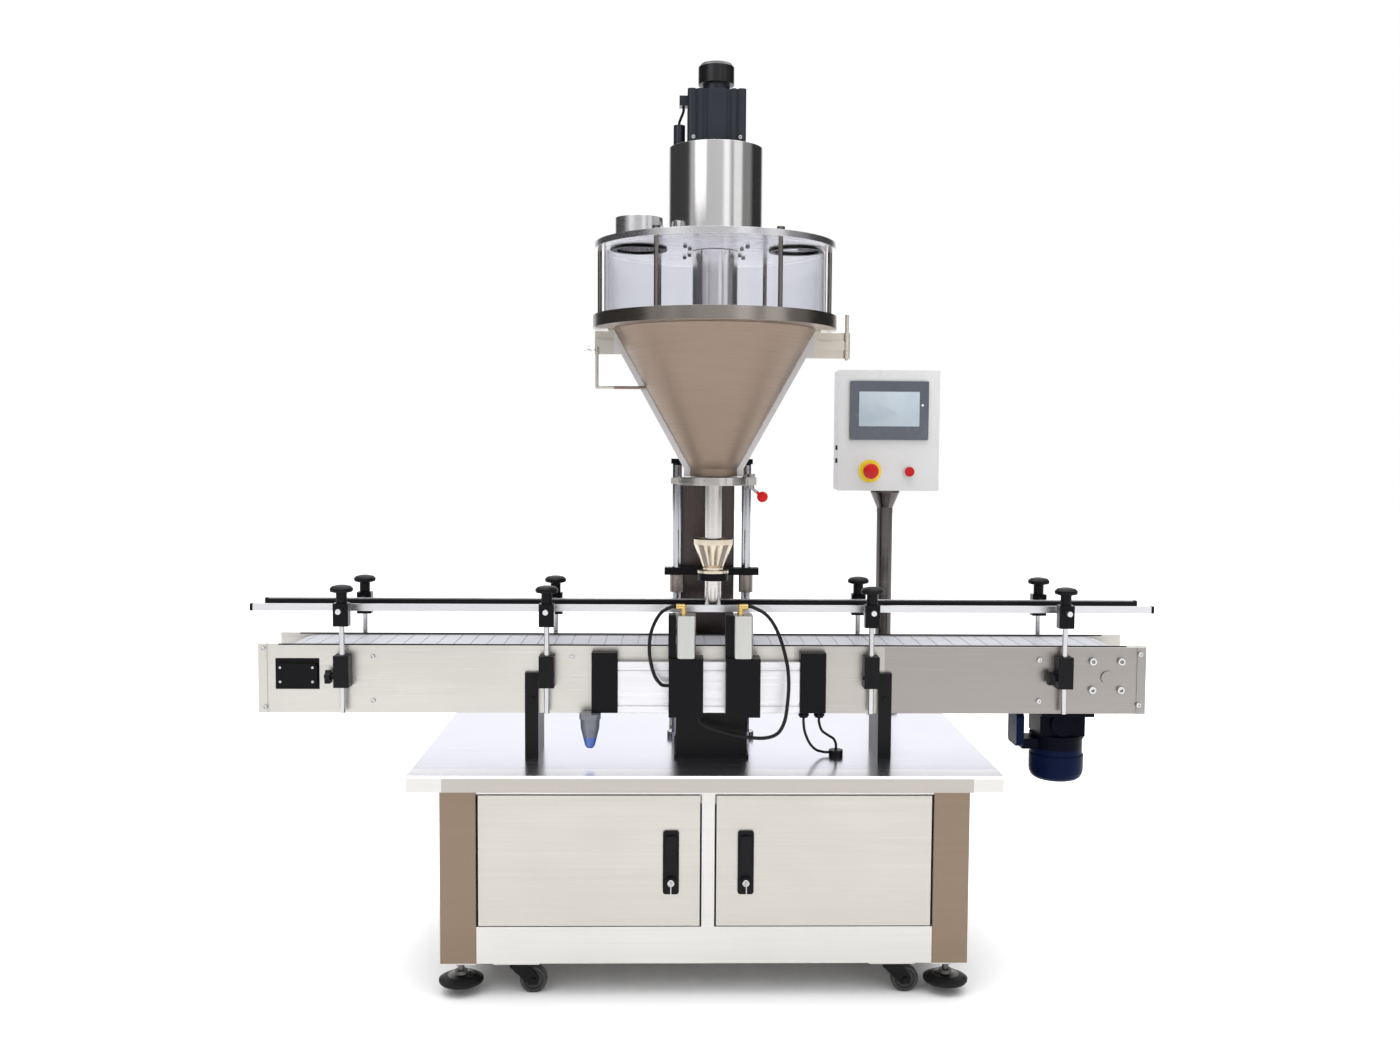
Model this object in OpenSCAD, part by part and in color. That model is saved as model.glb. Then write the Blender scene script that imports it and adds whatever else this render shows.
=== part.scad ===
// Powder filling machine: an auger filler with a split hopper over a slat conveyor, on a cabinet table
// Origin: bottom centre of the whole machine, X along the conveyor, Y to the back, Z up

/* [Table and cabinet] */
// Width of the table top
table_w = 1280; // [1180:1:1500]
// Depth of the table top
table_d = 750; // [730:1:900]
// Height of the table top over the floor
table_z = 505; // [480:1:640]
// Height of the table's folded edge
apron_h = 36; // [25:1:60]
// Width of the cabinet over its legs
cab_w = 1156; // [1080:1:1180]
// Depth of the cabinet over its legs
cab_d = 664; // [600:1:690]
// Height of the cabinet's underside over the floor
cab_z = 78; // [74:1:95]
// Side of a square leg
leg_w = 80; // [60:1:90]
// Wall of legs, panels and folded sheet
sheet_t = 3; // [2:0.5:5]
// Height of the rail under the doors
bottom_rail_h = 82; // [60:1:110]
// Width of the post between the doors
mullion_w = 28; // [24:1:50]
// Sideways place of the post between the doors
mullion_x = 6; // [-20:1:20]
// Thickness of a door
door_t = 20; // [18:1:26]
// Gap round a door
door_gap = 4; // [3:0.5:8]
// Width of a door handle
handle_w = 35; // [25:1:45]
// Length of a door handle
handle_h = 140; // [110:1:170]
// Diameter of a levelling foot's pad
foot_d = 98; // [70:1:110]
// Height of a raised foot's pad over the floor
foot_z = 23; // [5:1:28]

/* [Casters] */
// Diameter of a caster wheel
wheel_d = 60; // [54:1:60]
// Width of a caster wheel
wheel_w = 24; // [18:1:30]
// Distance of a wheel's axle behind its swivel
wheel_trail = 34; // [28:1:36]
// Distance of the caster stems in from the cabinet's ends
caster_in = 166; // [150:1:190]

/* [Conveyor] */
// Length of the conveyor's side plates
conv_l = 2000; // [1900:1:2200]
// Width of the conveyor over its side plates
conv_w = 178; // [170:1:190]
// Height of the side plates
conv_h = 155; // [150:1:175]
// Height of the side plates' top edge over the floor
conv_z = 762; // [740:1:820]
// Thickness of a side plate
plate_t = 6; // [4:0.5:8]
// Diameter of the end rollers
roller_d = 124; // [110:1:126]
// Thickness of the slat belt
belt_t = 6; // [4:0.5:8]
// Length of one slat
slat_pitch = 38; // [30:1:60]
// Distance from a roller's axis to the end of the side plates
roller_in = 87; // [80:1:95]

/* [Guide rails] */
// Length of a guide rail
rail_l = 2052; // [2002:1:2200]
// Height of the rails' middle over the floor
rail_z = 841; // [830:1:880]
// Clear distance between the rails
rail_gap = 96; // [70:1:110]
// Diameter of a rail post
post_d = 12; // [10:0.5:14]
// Distance of a rail post from the conveyor's side plate
post_out = 21; // [18:1:30]
// Distance of the outer posts in from the conveyor's ends
post_in = 192; // [150:1:220]
// Distance of the inner posts from the middle
inner_post_x = 363; // [345:1:420]

// Width of a conveyor leg
strut_w = 30; // [24:1:50]
// Depth of a conveyor leg
strut_d = 135; // [100:1:160]

/* [Filler] */
// Sideways place of the filler's axis
fill_x = 19; // [10:1:25]
// Diameter of the hopper ring
ring_d = 554; // [540:1:580]
// Height of the hopper ring
ring_h = 29; // [22:1:36]
// Height of the ring's top over the floor
ring_z = 1502; // [1490:1:1520]
// Diameter of the cone at its top
cone_top_d = 460; // [440:1:470]
// Diameter of the cone at its foot
cone_foot_d = 109; // [104:1:112]
// Wall of the hopper cone
cone_t = 4; // [3:0.5:5]
// Width of the flange along the hopper's joint
flange_w = 14; // [10:1:18]
// Height of the clear sight section
sight_h = 148; // [120:1:180]
// Outer diameter of the clear sight section
sight_d = 505; // [490:1:510]
// Diameter of the hopper lid
lid_d = 546; // [536:1:560]
// Thickness of the hopper lid
lid_t = 14; // [10:1:18]
// Diameter of the polished motor housing
housing_d = 213; // [190:1:225]
// Height of the polished motor housing
housing_h = 214; // [160:1:230]
// Side of the square servo motor
servo_w = 130; // [110:1:140]
// Height of the servo motor's body
servo_h = 115; // [100:1:140]
// Diameter of the encoder cap
encoder_d = 81; // [70:1:90]
// Diameter of the feed tube
feed_d = 38; // [34:1:40]
// Height of the feed tube's mouth over the floor
feed_z = 836; // [826:1:850]
// Turn-to-turn distance of the auger's flight
auger_pitch = 36; // [28:1:48]
// Diameter of the clamp ring under the hopper
clamp_d = 162; // [150:1:166]
// Thickness of the clamp ring
clamp_t = 18; // [14:1:24]
// Height of the clamp ring's top over the floor
clamp_z = 1138; // [1130:1:1146]

/* [Column and crossbar] */
// Diameter of a chrome guide column
guide_d = 22; // [18:1:24]
// Height of the guide columns' tops under their caps
guide_top = 1166; // [1140:1:1190]
// Distance between the guide columns
guide_gap = 166; // [160:1:180]
// Place of the guide columns from front to back
guide_y = 5; // [2:1:15]
// Width of the square support column
column_w = 132; // [110:1:136]
// Place of the support column's front face
column_y = 40; // [36:1:60]
// Height of the crossbar's top over the floor
bar_z = 917; // [905:1:940]
// Thickness of the crossbar
bar_t = 17; // [12:1:22]
// Diameter of the funnel's rim
funnel_d = 90; // [80:1:100]

/* [Control box] */
// Width of the control box
box_w = 266; // [240:1:290]
// Height of the control box
box_h = 314; // [290:1:340]
// Depth of the control box
box_d = 82; // [70:1:90]
// Sideways place of the control box
box_x = 488; // [470:1:500]
// Height of the control box's underside over the floor
box_z = 1094; // [1060:1:1140]
// Width of the touch screen
screen_w = 206; // [180:1:216]
// Height of the touch screen
screen_h = 153; // [130:1:156]

/* [Hidden] */
$fn = 48;
// Free space round a turning shaft
run_gap = 0.05;
// Free space between a part and its fixed seat
seat_gap = 0.3;
// Overlap that joins the shapes of one solid
eps = 0.01;
fill_y = -122;
conv_y = fill_y;
conv_front = conv_y - conv_w / 2;
conv_back = conv_y + conv_w / 2;
conv_bottom = conv_z - conv_h;
roller_x = conv_l / 2 - roller_in;
caster_x = cab_w / 2 - caster_in;
post_x = conv_l / 2 - post_in;
roller_z = conv_z - 4 - belt_t - roller_d / 2;
shaft_d = 30;
apron_z = table_z - apron_h;
frame_top = apron_z;
opening_w = cab_w / 2 - leg_w;
door_z = cab_z + bottom_rail_h + 2;
door_top = frame_top - 18;
pivot_in = 18;
pivot_d = 8;
swing_room = pivot_in + door_gap + 32;
pivot_l = 10;
handle_z = door_z + 72;
caster_y = cab_d / 2 - leg_w / 2;
plate_h = 4;
axle_d = 8;
stem_d = 12;
front_post_y = conv_front - post_out;
rear_post_y = conv_back + post_out;
rail_h = 16;
rail_t = 14;
block_w = 34;
block_h = 51;
block_z = rail_z - 35;
cross_d = 12;
knob_h = 40;
stop_gap = 126;
stop_z = 744;
stop_h = 94;
stop_w = 42;
stop_front = conv_front - 78;
stop_d = 60;
beam_t = 22;
lid_z = ring_z + sight_h;
housing_z = lid_z + lid_t;
servo_z = housing_z + housing_h + 6;
cone_z0 = clamp_z + 19;
cone_z1 = ring_z - ring_h - seat_gap;
cone_slope = (cone_top_d - cone_foot_d) / 2 / (cone_z1 - cone_z0);
hinge_r = 303;
half_gap = 0.6;
hinge_pin_d = 8;
rod_r = 262;
rod_d = 10;
feed_t = 2;
auger_shaft_d = 14;
clamp_bottom = clamp_z - clamp_t;
funnel_z = bar_z;
funnel_h = 78;
box_front = 280;
post_back = 45;
swivel_d = 30;
button_z = box_z + 51;
estop_d = 22.2;
push_d = 20.2;
estop_x = box_x - 48;
push_x = box_x + 55;

module rounded(w, d, r) {
    square([w, d - 2 * r], center = true);
    square([w - 2 * r, d], center = true);
    for (x = [-1, 1], y = [-1, 1])
        translate([x * (w / 2 - r), y * (d / 2 - r)]) circle(r, $fn = 32);
}
module block(x0, x1, y0, y1, z0, z1) {
    translate([x0, y0, z0]) cube([x1 - x0, y1 - y0, z1 - z0]);
}
module xrod(d, x0, x1, y, z) {
    translate([x0, y, z]) rotate([0, 90, 0]) cylinder(d = d, h = x1 - x0);
}
module yrod(d, x, y0, y1, z) {
    translate([x, y0, z]) rotate([-90, 0, 0]) cylinder(d = d, h = y1 - y0);
}
module zrod(d, x, y, z0, z1) {
    translate([x, y, z0]) cylinder(d = d, h = z1 - z0);
}
module ring(d, inner, z0, z1) {
    translate([0, 0, z0]) difference() {
        cylinder(d = d, h = z1 - z0, $fn = 96);
        translate([0, 0, -1]) cylinder(d = inner, h = z1 - z0 + 2, $fn = 96);
    }
}
module at_filler() {
    translate([fill_x, fill_y, 0]) children();
}
module bolt(x, y, z, dir = [0, 0, 0], d = 10, h = 5) {
    translate([x, y, z]) rotate(dir) cylinder(d = d, h = h, $fn = 6);
}
module corners() {
    for (x = [-1, 1], y = [-1, 1]) translate([x * (cab_w - leg_w) / 2, y * (cab_d - leg_w) / 2, 0]) children();
}

module leg_tube() {
    translate([0, 0, cab_z]) linear_extrude(frame_top - cab_z) difference() {
        rounded(leg_w, leg_w, 4);
        rounded(leg_w - 2 * sheet_t, leg_w - 2 * sheet_t, 2);
    }
    translate([0, 0, cab_z]) cube([leg_w - sheet_t, leg_w - sheet_t, 2 * sheet_t], center = true);
}
module caster_seats() {
    for (x = [-1, 1], y = [-1, 1]) translate([x * caster_x, y * caster_y, cab_z - plate_h])
        difference() {
            translate([-50, -36, 0]) cube([100, 72, plate_h + eps]);
            translate([0, 0, -1]) cylinder(d = stem_d + 2 * run_gap, h = plate_h + 2);
        }
}
module cabinet_frame() color("tan") {
    front = -cab_d / 2;
    difference() {
        union() {
            difference() {
                union() {
                    corners() leg_tube();
                    for (y = [-1, 1]) scale([1, y, 1]) {
                        block(-opening_w - 2, opening_w + 2, front, front + 60, cab_z, cab_z + bottom_rail_h);
                        block(-opening_w + swing_room, opening_w - swing_room, front + door_t + 4, front + 60,
                            door_top - 24, frame_top);
                        block(-opening_w - 2, opening_w + 2, front + 2, front + 60, door_top + 2, frame_top);
                    }
                    for (x = [-1, 1]) scale([x, 1, 1]) {
                        block(cab_w / 2 - 60, cab_w / 2 - 4, front + leg_w - 2, -front - leg_w + 2, cab_z, cab_z + 40);
                        block(cab_w / 2 - 60, cab_w / 2 - 4, front + leg_w - 2, -front - leg_w + 2,
                            frame_top - 40, frame_top);
                    }
                    block(mullion_x - mullion_w / 2, mullion_x + mullion_w / 2, front, front + 50,
                        cab_z + bottom_rail_h - 2, frame_top);
                }
            }
            caster_seats();
        }
        for (x = [-1, 1]) {
            zrod(pivot_d + 2 * run_gap, x * (opening_w - door_gap - pivot_in), front + door_t / 2,
                door_z - 2 - pivot_l - 2, door_z);
            zrod(pivot_d + 2 * run_gap, x * (opening_w - door_gap - pivot_in), front + door_t / 2,
                door_top, door_top + 2 + pivot_l + 2);
            for (y = [-1, 1]) zrod(stem_d + 2 * run_gap, x * caster_x, y * caster_y, cab_z - 6, cab_z + 20);
        }
    }
}
module cabinet_panels() color("linen") {
    for (x = [-1, 1]) scale([x, 1, 1])
        block(cab_w / 2 - 3.8, cab_w / 2 - 0.8, -cab_d / 2 + leg_w + seat_gap, cab_d / 2 - leg_w - seat_gap,
            cab_z + 2, frame_top - 2);
    block(-opening_w + seat_gap, opening_w - seat_gap, cab_d / 2 - 3.8 + 4, cab_d / 2 - 0.8 + 4,
        cab_z + 2, frame_top - 2);
    block(-opening_w + seat_gap, opening_w - seat_gap, -cab_d / 2 + 60.3, cab_d / 2 - 60.3, cab_z + 40, cab_z + 43);
}
module table_top() color("whitesmoke") {
    difference() {
        block(-table_w / 2, table_w / 2, -table_d / 2, table_d / 2, apron_z, table_z);
        block(-table_w / 2 + sheet_t, table_w / 2 - sheet_t, -table_d / 2 + sheet_t, table_d / 2 - sheet_t,
            apron_z - 1, table_z - sheet_t);
    }
    difference() {
        block(-cab_w / 2, cab_w / 2, -cab_d / 2, cab_d / 2, apron_z, table_z - sheet_t + eps);
        block(-cab_w / 2 + 60, cab_w / 2 - 60, -cab_d / 2 + 60, cab_d / 2 - 60, apron_z - 1, table_z - sheet_t);
    }
}
module levelling_feet() color("dimgray") {
    corners() {
        translate([0, 0, foot_z]) rotate_extrude($fn = 64)
            polygon([[0, 0], [foot_d / 2 - 2, 0], [foot_d / 2, 3], [foot_d / 2, 8], [foot_d / 2 - 10, 13],
                [16, 19], [14, 26], [0, 26]]);
        translate([0, 0, foot_z + 25]) cylinder(d = 14, h = cab_z - 2 * sheet_t / 2 - foot_z - 25 - seat_gap);
        translate([0, 0, cab_z - sheet_t - 12]) cylinder(d = 30, h = 12 - seat_gap, $fn = 6);
    }
}

module door(side) {
    near = mullion_w / 2 + door_gap;
    x0 = side < 0 ? -opening_w + door_gap : mullion_x + near;
    x1 = side < 0 ? mullion_x - near : opening_w - door_gap;
    front = -cab_d / 2;
    px = side * (opening_w - door_gap - pivot_in);
    difference() {
        block(x0, x1, front, front + door_t, door_z, door_top);
        block(x0 + 20, x1 - 20, front + sheet_t, front + door_t + 1, door_z + 20, door_top - 20);
    }
    hx = side < 0 ? x1 - 63 : x0 + 64;
    block(hx - 24, hx + 24, front + sheet_t - eps, front + door_t - 2, handle_z - 8, handle_z + handle_h + 8);
    zrod(pivot_d, px, front + door_t / 2, door_z - pivot_l - 2, door_z + 5);
    zrod(pivot_d, px, front + door_t / 2, door_top - 5, door_top + pivot_l + 2);
}
module left_door() color("linen") door(-1);
module right_door() color("linen") door(1);
left_handle_x = mullion_x - mullion_w / 2 - door_gap - 63;
right_handle_x = mullion_x + mullion_w / 2 + door_gap + 64;
module handle(x) {
    front = -cab_d / 2 - seat_gap;
    translate([x, front, handle_z]) rotate([90, 0, 0]) linear_extrude(5)
        translate([0, handle_h / 2]) rounded(handle_w, handle_h, 6);
    translate([x, front - 4, handle_z + 62]) rotate([90, 0, 0]) linear_extrude(7)
        translate([0, 34]) rounded(handle_w - 11, 68, 5);
    yrod(24, x, front - 14, front - 4, handle_z + 28);
    yrod(14, x, front - 16, front - 13, handle_z + 28);
}
module left_handle() color("black") handle(left_handle_x);
module right_handle() color("black") handle(right_handle_x);

module caster_fork(x, y) {
    ax = x + wheel_trail;
    az = wheel_d / 2;
    top = cab_z - plate_h - 0.5;
    difference() {
        union() {
            translate([x, y, top - 7]) cylinder(d = 46, h = 7);
            translate([x, y, 0]) for (s = [-1, 1]) scale([1, s, 1])
                translate([0, wheel_w / 2 + 1, 0]) rotate([90, 0, 0]) mirror([0, 0, 1]) linear_extrude(3)
                    polygon([[-20, top], [20, top], [wheel_trail + 13, az + 6], [wheel_trail + 11, az - 9],
                        [wheel_trail - 9, az - 10], [-16, top - 14]]);
            block(x - 20, x + 20, y - wheel_w / 2 - 4, y + wheel_w / 2 + 4, top - 4, top);
        }
        yrod(wheel_d + 5, ax, y - wheel_w / 2 - 1, y + wheel_w / 2 + 1, az);
    }
    zrod(stem_d, x, y, top - 1, cab_z + 16);
    yrod(axle_d, ax, y - wheel_w / 2 - 9, y + wheel_w / 2 + 9, az);
    for (s = [-1, 1]) translate([ax, y + s * (wheel_w / 2 + 6), az]) rotate([90, 0, 0])
        cylinder(d = 15, h = 5, center = true, $fn = 6);
}
module caster_wheel(x, y) {
    translate([x + wheel_trail, y, wheel_d / 2]) rotate([90, 0, 0]) rotate_extrude($fn = 64)
        polygon([[axle_d / 2 + run_gap, -wheel_w / 2 + 0.5], [10, -wheel_w / 2 + 0.5], [12, -wheel_w / 2 + 4],
            [20, -wheel_w / 2 + 4], [22, -wheel_w / 2 + 1], [wheel_d / 2 - 3, -wheel_w / 2 + 1],
            [wheel_d / 2, -wheel_w / 2 + 4], [wheel_d / 2, wheel_w / 2 - 4], [wheel_d / 2 - 3, wheel_w / 2 - 1],
            [22, wheel_w / 2 - 1], [20, wheel_w / 2 - 4], [12, wheel_w / 2 - 4], [10, wheel_w / 2 - 0.5],
            [axle_d / 2 + run_gap, wheel_w / 2 - 0.5]]);
}
module caster_fork_front_left() color("silver") caster_fork(-caster_x, -caster_y);
module caster_fork_front_right() color("silver") caster_fork(caster_x, -caster_y);
module caster_fork_rear_left() color("silver") caster_fork(-caster_x, caster_y);
module caster_fork_rear_right() color("silver") caster_fork(caster_x, caster_y);
module caster_wheel_front_left() color("dimgray") caster_wheel(-caster_x, -caster_y);
module caster_wheel_front_right() color("dimgray") caster_wheel(caster_x, -caster_y);
module caster_wheel_rear_left() color("dimgray") caster_wheel(-caster_x, caster_y);
module caster_wheel_rear_right() color("dimgray") caster_wheel(caster_x, caster_y);

cover_w = 91;
cover_h = 50;
cover_t = 8;
member_x = [-740, -444, -148, 148, 444, 740];
module side_plates() color("gainsboro") {
    for (y = [conv_front, conv_back - plate_t]) difference() {
        union() {
            block(-conv_l / 2, conv_l / 2, y, y + plate_t, conv_bottom, conv_z);
            for (x = [-1, 1]) block(x * (conv_l / 2 - 10) - 10, x * (conv_l / 2 - 10) + 10,
                y == conv_front ? y - 2 : y, y == conv_front ? y + plate_t : y + plate_t + 2, conv_bottom, conv_z);
        }
        for (x = [-1, 1]) yrod(shaft_d + 2 * run_gap, x * roller_x, y - 5, y + plate_t + 5, roller_z);
    }
    for (s = [-1, 1]) for (dx = [-33, 33], dz = [-34, 34])
        translate([roller_x + dx, conv_y + s * (conv_w / 2 - eps), roller_z + dz]) rotate([-s * 90, 0, 0])
            cylinder(d = 11, h = 5, $fn = 24);
    for (s = [-1, 1]) translate([-roller_x, conv_y + s * conv_w / 2, roller_z + 4]) rotate([-s * 90, 0, 0])
        difference() {
            translate([0, 0, -eps]) linear_extrude(cover_t) rounded(cover_w, cover_h, 10);
            translate([0, s * 4, -1]) cylinder(d = shaft_d + 2 * run_gap, h = cover_t - 1);
        }
}
module cross_members() color("silver") {
    inner = conv_w / 2 - plate_t;
    for (x = member_x) {
        yrod(22, x, conv_y - inner, conv_y + inner, roller_z - 28);
        yrod(22, x, conv_y - inner, conv_y + inner, roller_z + 38);
    }
    for (s = [-1, 1]) block(member_x[0] - 60, member_x[5] + 60, conv_y + s * 45 - 12, conv_y + s * 45 + 12,
        roller_z + 44, roller_z + roller_d / 2 - seat_gap);
    for (x = member_x, s = [-1, 1]) block(x - 6, x + 6, conv_y + s * 45 - 10, conv_y + s * 45 + 10,
        roller_z + 34, roller_z + 46);
}
module stadium(r) {
    square([2 * roller_x, 2 * r], center = true);
    for (x = [-1, 1]) translate([x * roller_x, 0]) circle(r, $fn = 96);
}
module slat_belt() color("lightslategray") {
    slats = floor(2 * roller_x / slat_pitch);
    translate([0, conv_y, roller_z]) rotate([90, 0, 0]) linear_extrude(conv_w - 24, center = true) difference() {
        stadium(roller_d / 2 + belt_t);
        stadium(roller_d / 2 + seat_gap);
        for (i = [0 : slats], s = [-1, 1])
            translate([(i - slats / 2) * slat_pitch, s * (roller_d / 2 + belt_t)]) square([2, 3], center = true);
    }
}
module roller(x) {
    yrod(roller_d, x, conv_y - conv_w / 2 + 14, conv_y + conv_w / 2 - 14, roller_z);
    yrod(shaft_d, x, conv_front - 4, conv_back + 4, roller_z);
}
module drive_roller() color("silver") {
    roller(roller_x);
    yrod(shaft_d - 6, roller_x, conv_back + 3, conv_back + 14, roller_z);
}
module idler_roller() color("silver") roller(-roller_x);

motor_x = 826;
gear_z = 545;
module gearbox() color("midnightblue") {
    top = conv_bottom - seat_gap;
    block(motor_x - 52, motor_x + 52, conv_y - 48, conv_y + 48, gear_z, top - 8);
    block(motor_x - 60, motor_x + 60, conv_y - conv_w / 2 + 1, conv_y + conv_w / 2 - 1, top - 8, top);
    yrod(56, motor_x, conv_y - 56, conv_y + 56, gear_z + 29);
    yrod(24, motor_x, conv_y + 50, conv_back + 26, gear_z + 29);
}
module conveyor_motor() color("midnightblue") {
    translate([motor_x, conv_y, 0]) {
        translate([0, 0, gear_z - 8]) cylinder(d = 124, h = 8 - seat_gap);
        translate([0, 0, 496]) cylinder(d = 118, h = gear_z - 503);
        rotate_extrude($fn = 64)
            polygon([[0, 437], [40, 437], [50, 440], [57, 446], [61, 455], [62, 464], [62, 497], [0, 497]]);
        block(-88, -50, -30, 30, 512, gear_z - 9);
        translate([-104, 0, gear_z + 12]) rotate([0, 90, 0]) linear_extrude(18) rounded(76, 76, 10);
    }
}
leg_xs = [-389, 405.5];
grommet_x = 300;
grommet_y = -190;
grommet_d = 32;
grommet_h = 14;
module conveyor_legs() color("black") {
    front = conv_front - seat_gap;
    for (x = leg_xs) {
        block(x - strut_w / 2, x + strut_w / 2, front - 12, front, table_z, rail_z - 141);
        block(x - strut_w / 2, x + strut_w / 2, front - 12, front - 12 + strut_d, table_z, conv_bottom - seat_gap);
        translate([x, front - 11.9, conv_bottom + 34]) rotate([90, 0, 0]) cylinder(d = 12, h = 5, $fn = 24);
    }
    block(fill_x - 88, fill_x + 80, conv_front - 8, conv_back + 6, table_z, table_z + 8);
    for (y = [conv_front - 6, conv_back - 2]) block(fill_x - 84, fill_x + 76, y, y + 8, table_z, conv_bottom - seat_gap);
    block(fill_x - 84, fill_x + 76, conv_front - 6, conv_back + 6, conv_bottom - 10, conv_bottom - seat_gap);
    zrod(grommet_d, grommet_x, grommet_y, table_z, table_z + grommet_h);
}
post_xs = [-post_x, 9 - inner_post_x, 9 + inner_post_x, post_x];
module post_brackets() color("black") {
    for (x = post_xs, s = [-1, 1]) {
        face = conv_y + s * (conv_w / 2 + seat_gap);
        axis = conv_y + s * (conv_w / 2 + post_out);
        difference() {
            block(x - 17, x + 17, min(face, axis + s * 14), max(face, axis + s * 14), rail_z - 172, rail_z - 101);
            zrod(post_d + 2 * run_gap, x, axis, rail_z - 180, rail_z - 90);
        }
        translate([x - 17 + eps, axis, rail_z - 150]) rotate([0, -90, 0]) {
            if (abs(x) == post_x) {
                cylinder(d = 12, h = 9);
                translate([0, 0, 8]) linear_extrude(12) {
                    circle(d = 24);
                    for (a = [0 : 72 : 288]) rotate(a) translate([11, 0]) circle(d = 10);
                }
            } else cylinder(d = 8, h = 2.5);
        }
    }
}
module posts(y) {
    for (x = post_xs) {
        difference() {
            union() {
                zrod(post_d, x, y, conv_bottom + 4, block_z + 20);
                translate([x, y, block_z]) linear_extrude(block_h) rounded(block_w, 30, 4);
            }
            yrod(cross_d + 2 * run_gap, x, y - 20, y + 20, rail_z);
        }
    }
}
module knobs(y) {
    for (x = post_xs) translate([x, y, block_z + block_h + seat_gap]) rotate_extrude($fn = 48)
        polygon([[0, 0], [12, 0], [12, 22], [24, 25], [25.5, 29], [25, 33], [20, 37.5], [10, 39.8], [0, knob_h]]);
}
module rail(s) {
    inner = s * rail_gap / 2;
    translate([0, conv_y, 0]) {
        difference() {
            block(-rail_l / 2 + 6, rail_l / 2 - 6, min(inner + s * 7, inner + s * rail_t),
                max(inner + s * 7, inner + s * rail_t), rail_z - rail_h / 2, rail_z + rail_h / 2);
            block(-rail_l / 2 - 1, rail_l / 2 + 1, min(inner + s * 5, inner + s * 10.5),
                max(inner + s * 5, inner + s * 10.5), rail_z - 5, rail_z + 5);
        }
        translate([0, inner, rail_z]) rotate([90, 0, 90]) linear_extrude(rail_l - 12, center = true)
            scale([s, 1]) polygon([[0, -4], [2, -6], [6.8, -6], [6.8, -4.7], [10.2, -4.7], [10.2, 4.7],
                [6.8, 4.7], [6.8, 6], [2, 6], [0, 4]]);
        for (x = [-1, 1]) block(x * rail_l / 2 - (x > 0 ? 6 : 0), x * rail_l / 2 + (x > 0 ? 0 : 6),
            min(inner, inner + s * rail_t), max(inner, inner + s * rail_t),
            rail_z - rail_h / 2, rail_z + rail_h / 2);
        reach = conv_w / 2 + post_out + 34;
        for (x = post_xs) yrod(cross_d, x, min(inner + s * (rail_t - eps), s * reach),
            max(inner + s * (rail_t - eps), s * reach), rail_z);
    }
}
module front_posts() color("silver") posts(front_post_y);
module rear_posts() color("silver") posts(rear_post_y);
module front_knobs() color("black") knobs(front_post_y);
module rear_knobs() color("black") knobs(rear_post_y);
module front_rail() color("silver") rail(-1);
module rear_rail() color("black") rail(1);

stop_xs = [fill_x - stop_gap / 2, fill_x + stop_gap / 2];
gland_xs = [fill_x + 203, fill_x + 238];
gland_y = conv_front - 14;
gland_z = conv_bottom - 6;
finger_tip = conv_y - 50;
elbow_l = 16;
beam_front = conv_front - 2 - beam_t;
module stopper_beam() color("silver") {
    difference() {
        block(fill_x - 216, fill_x + 194, beam_front, beam_front + beam_t, conv_bottom + 6, conv_bottom + 120);
        for (z = [conv_bottom + 20, conv_bottom + 100])
            block(fill_x - 230, fill_x + 210, beam_front - 1, beam_front + 4, z, z + 8);
    }
    for (x = [fill_x - 244, fill_x + 222])
        block(x - 29, x + 29, beam_front - 6, conv_front - seat_gap, conv_bottom + 6, conv_bottom + 141);
    for (x = gland_xs) {
        zrod(19, x, gland_y, gland_z, conv_bottom + 6 + eps);
        translate([x, gland_y, gland_z + 3]) cylinder(d = 24, h = 5, $fn = 6);
    }
    for (x = stop_xs) {
        block(x - 38, x + 38, stop_front, beam_front + eps, conv_bottom + 6, stop_z - 1);
        block(x - stop_w / 2 - 18, x - stop_w / 2 - 1, stop_front + 8, stop_front + 50, stop_z - 2, stop_z + stop_h);
    }
}
module stop_cylinders() color("lightgray") {
    for (x = stop_xs) {
        difference() {
            translate([x, stop_front + stop_d / 2, stop_z - 1 + seat_gap]) linear_extrude(stop_h)
                rounded(stop_w, stop_d, 8);
            for (z = [stop_z + 30, stop_z + 68])
                yrod(8 + 2 * run_gap, x, stop_front + 4, stop_front + stop_d + 1, z);
        }
        translate([x - 6, stop_front + 18, stop_z + stop_h - 2]) {
            cylinder(d = 15, h = 10, $fn = 6);
            cylinder(d = 11, h = 20);
            translate([0, 0, 20]) sphere(d = 13, $fn = 24);
            rotate([0, x < fill_x ? -90 : 90, 0]) translate([x < fill_x ? 20 : -20, 0, 0]) cylinder(d = 13, h = elbow_l);
        }
    }
}
module stop_rod(x) {
    back = stop_front + stop_d;
    for (z = [stop_z + 30, stop_z + 68]) yrod(8, x, stop_front + 6, back + 9, z);
    block(x - 10, x + 10, back + 8, back + 14, stop_z + 22, stop_z + 78);
    yrod(10, x, back + 13, finger_tip, stop_z + 50);
}
module left_stop_rod() color("silver") stop_rod(stop_xs[0]);
module right_stop_rod() color("silver") stop_rod(stop_xs[1]);
module air_filter() color("slategray") {
    translate([fill_x - 276, beam_front - 6, 0]) {
        translate([0, 0, conv_bottom + 6 - seat_gap - 12]) cylinder(d = 48, h = 12);
        translate([0, 0, conv_bottom - 73]) rotate_extrude($fn = 48)
            polygon([[0, 0], [7, 1], [11, 6], [21, 46], [22, 68], [0, 68]]);
    }
}

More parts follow.
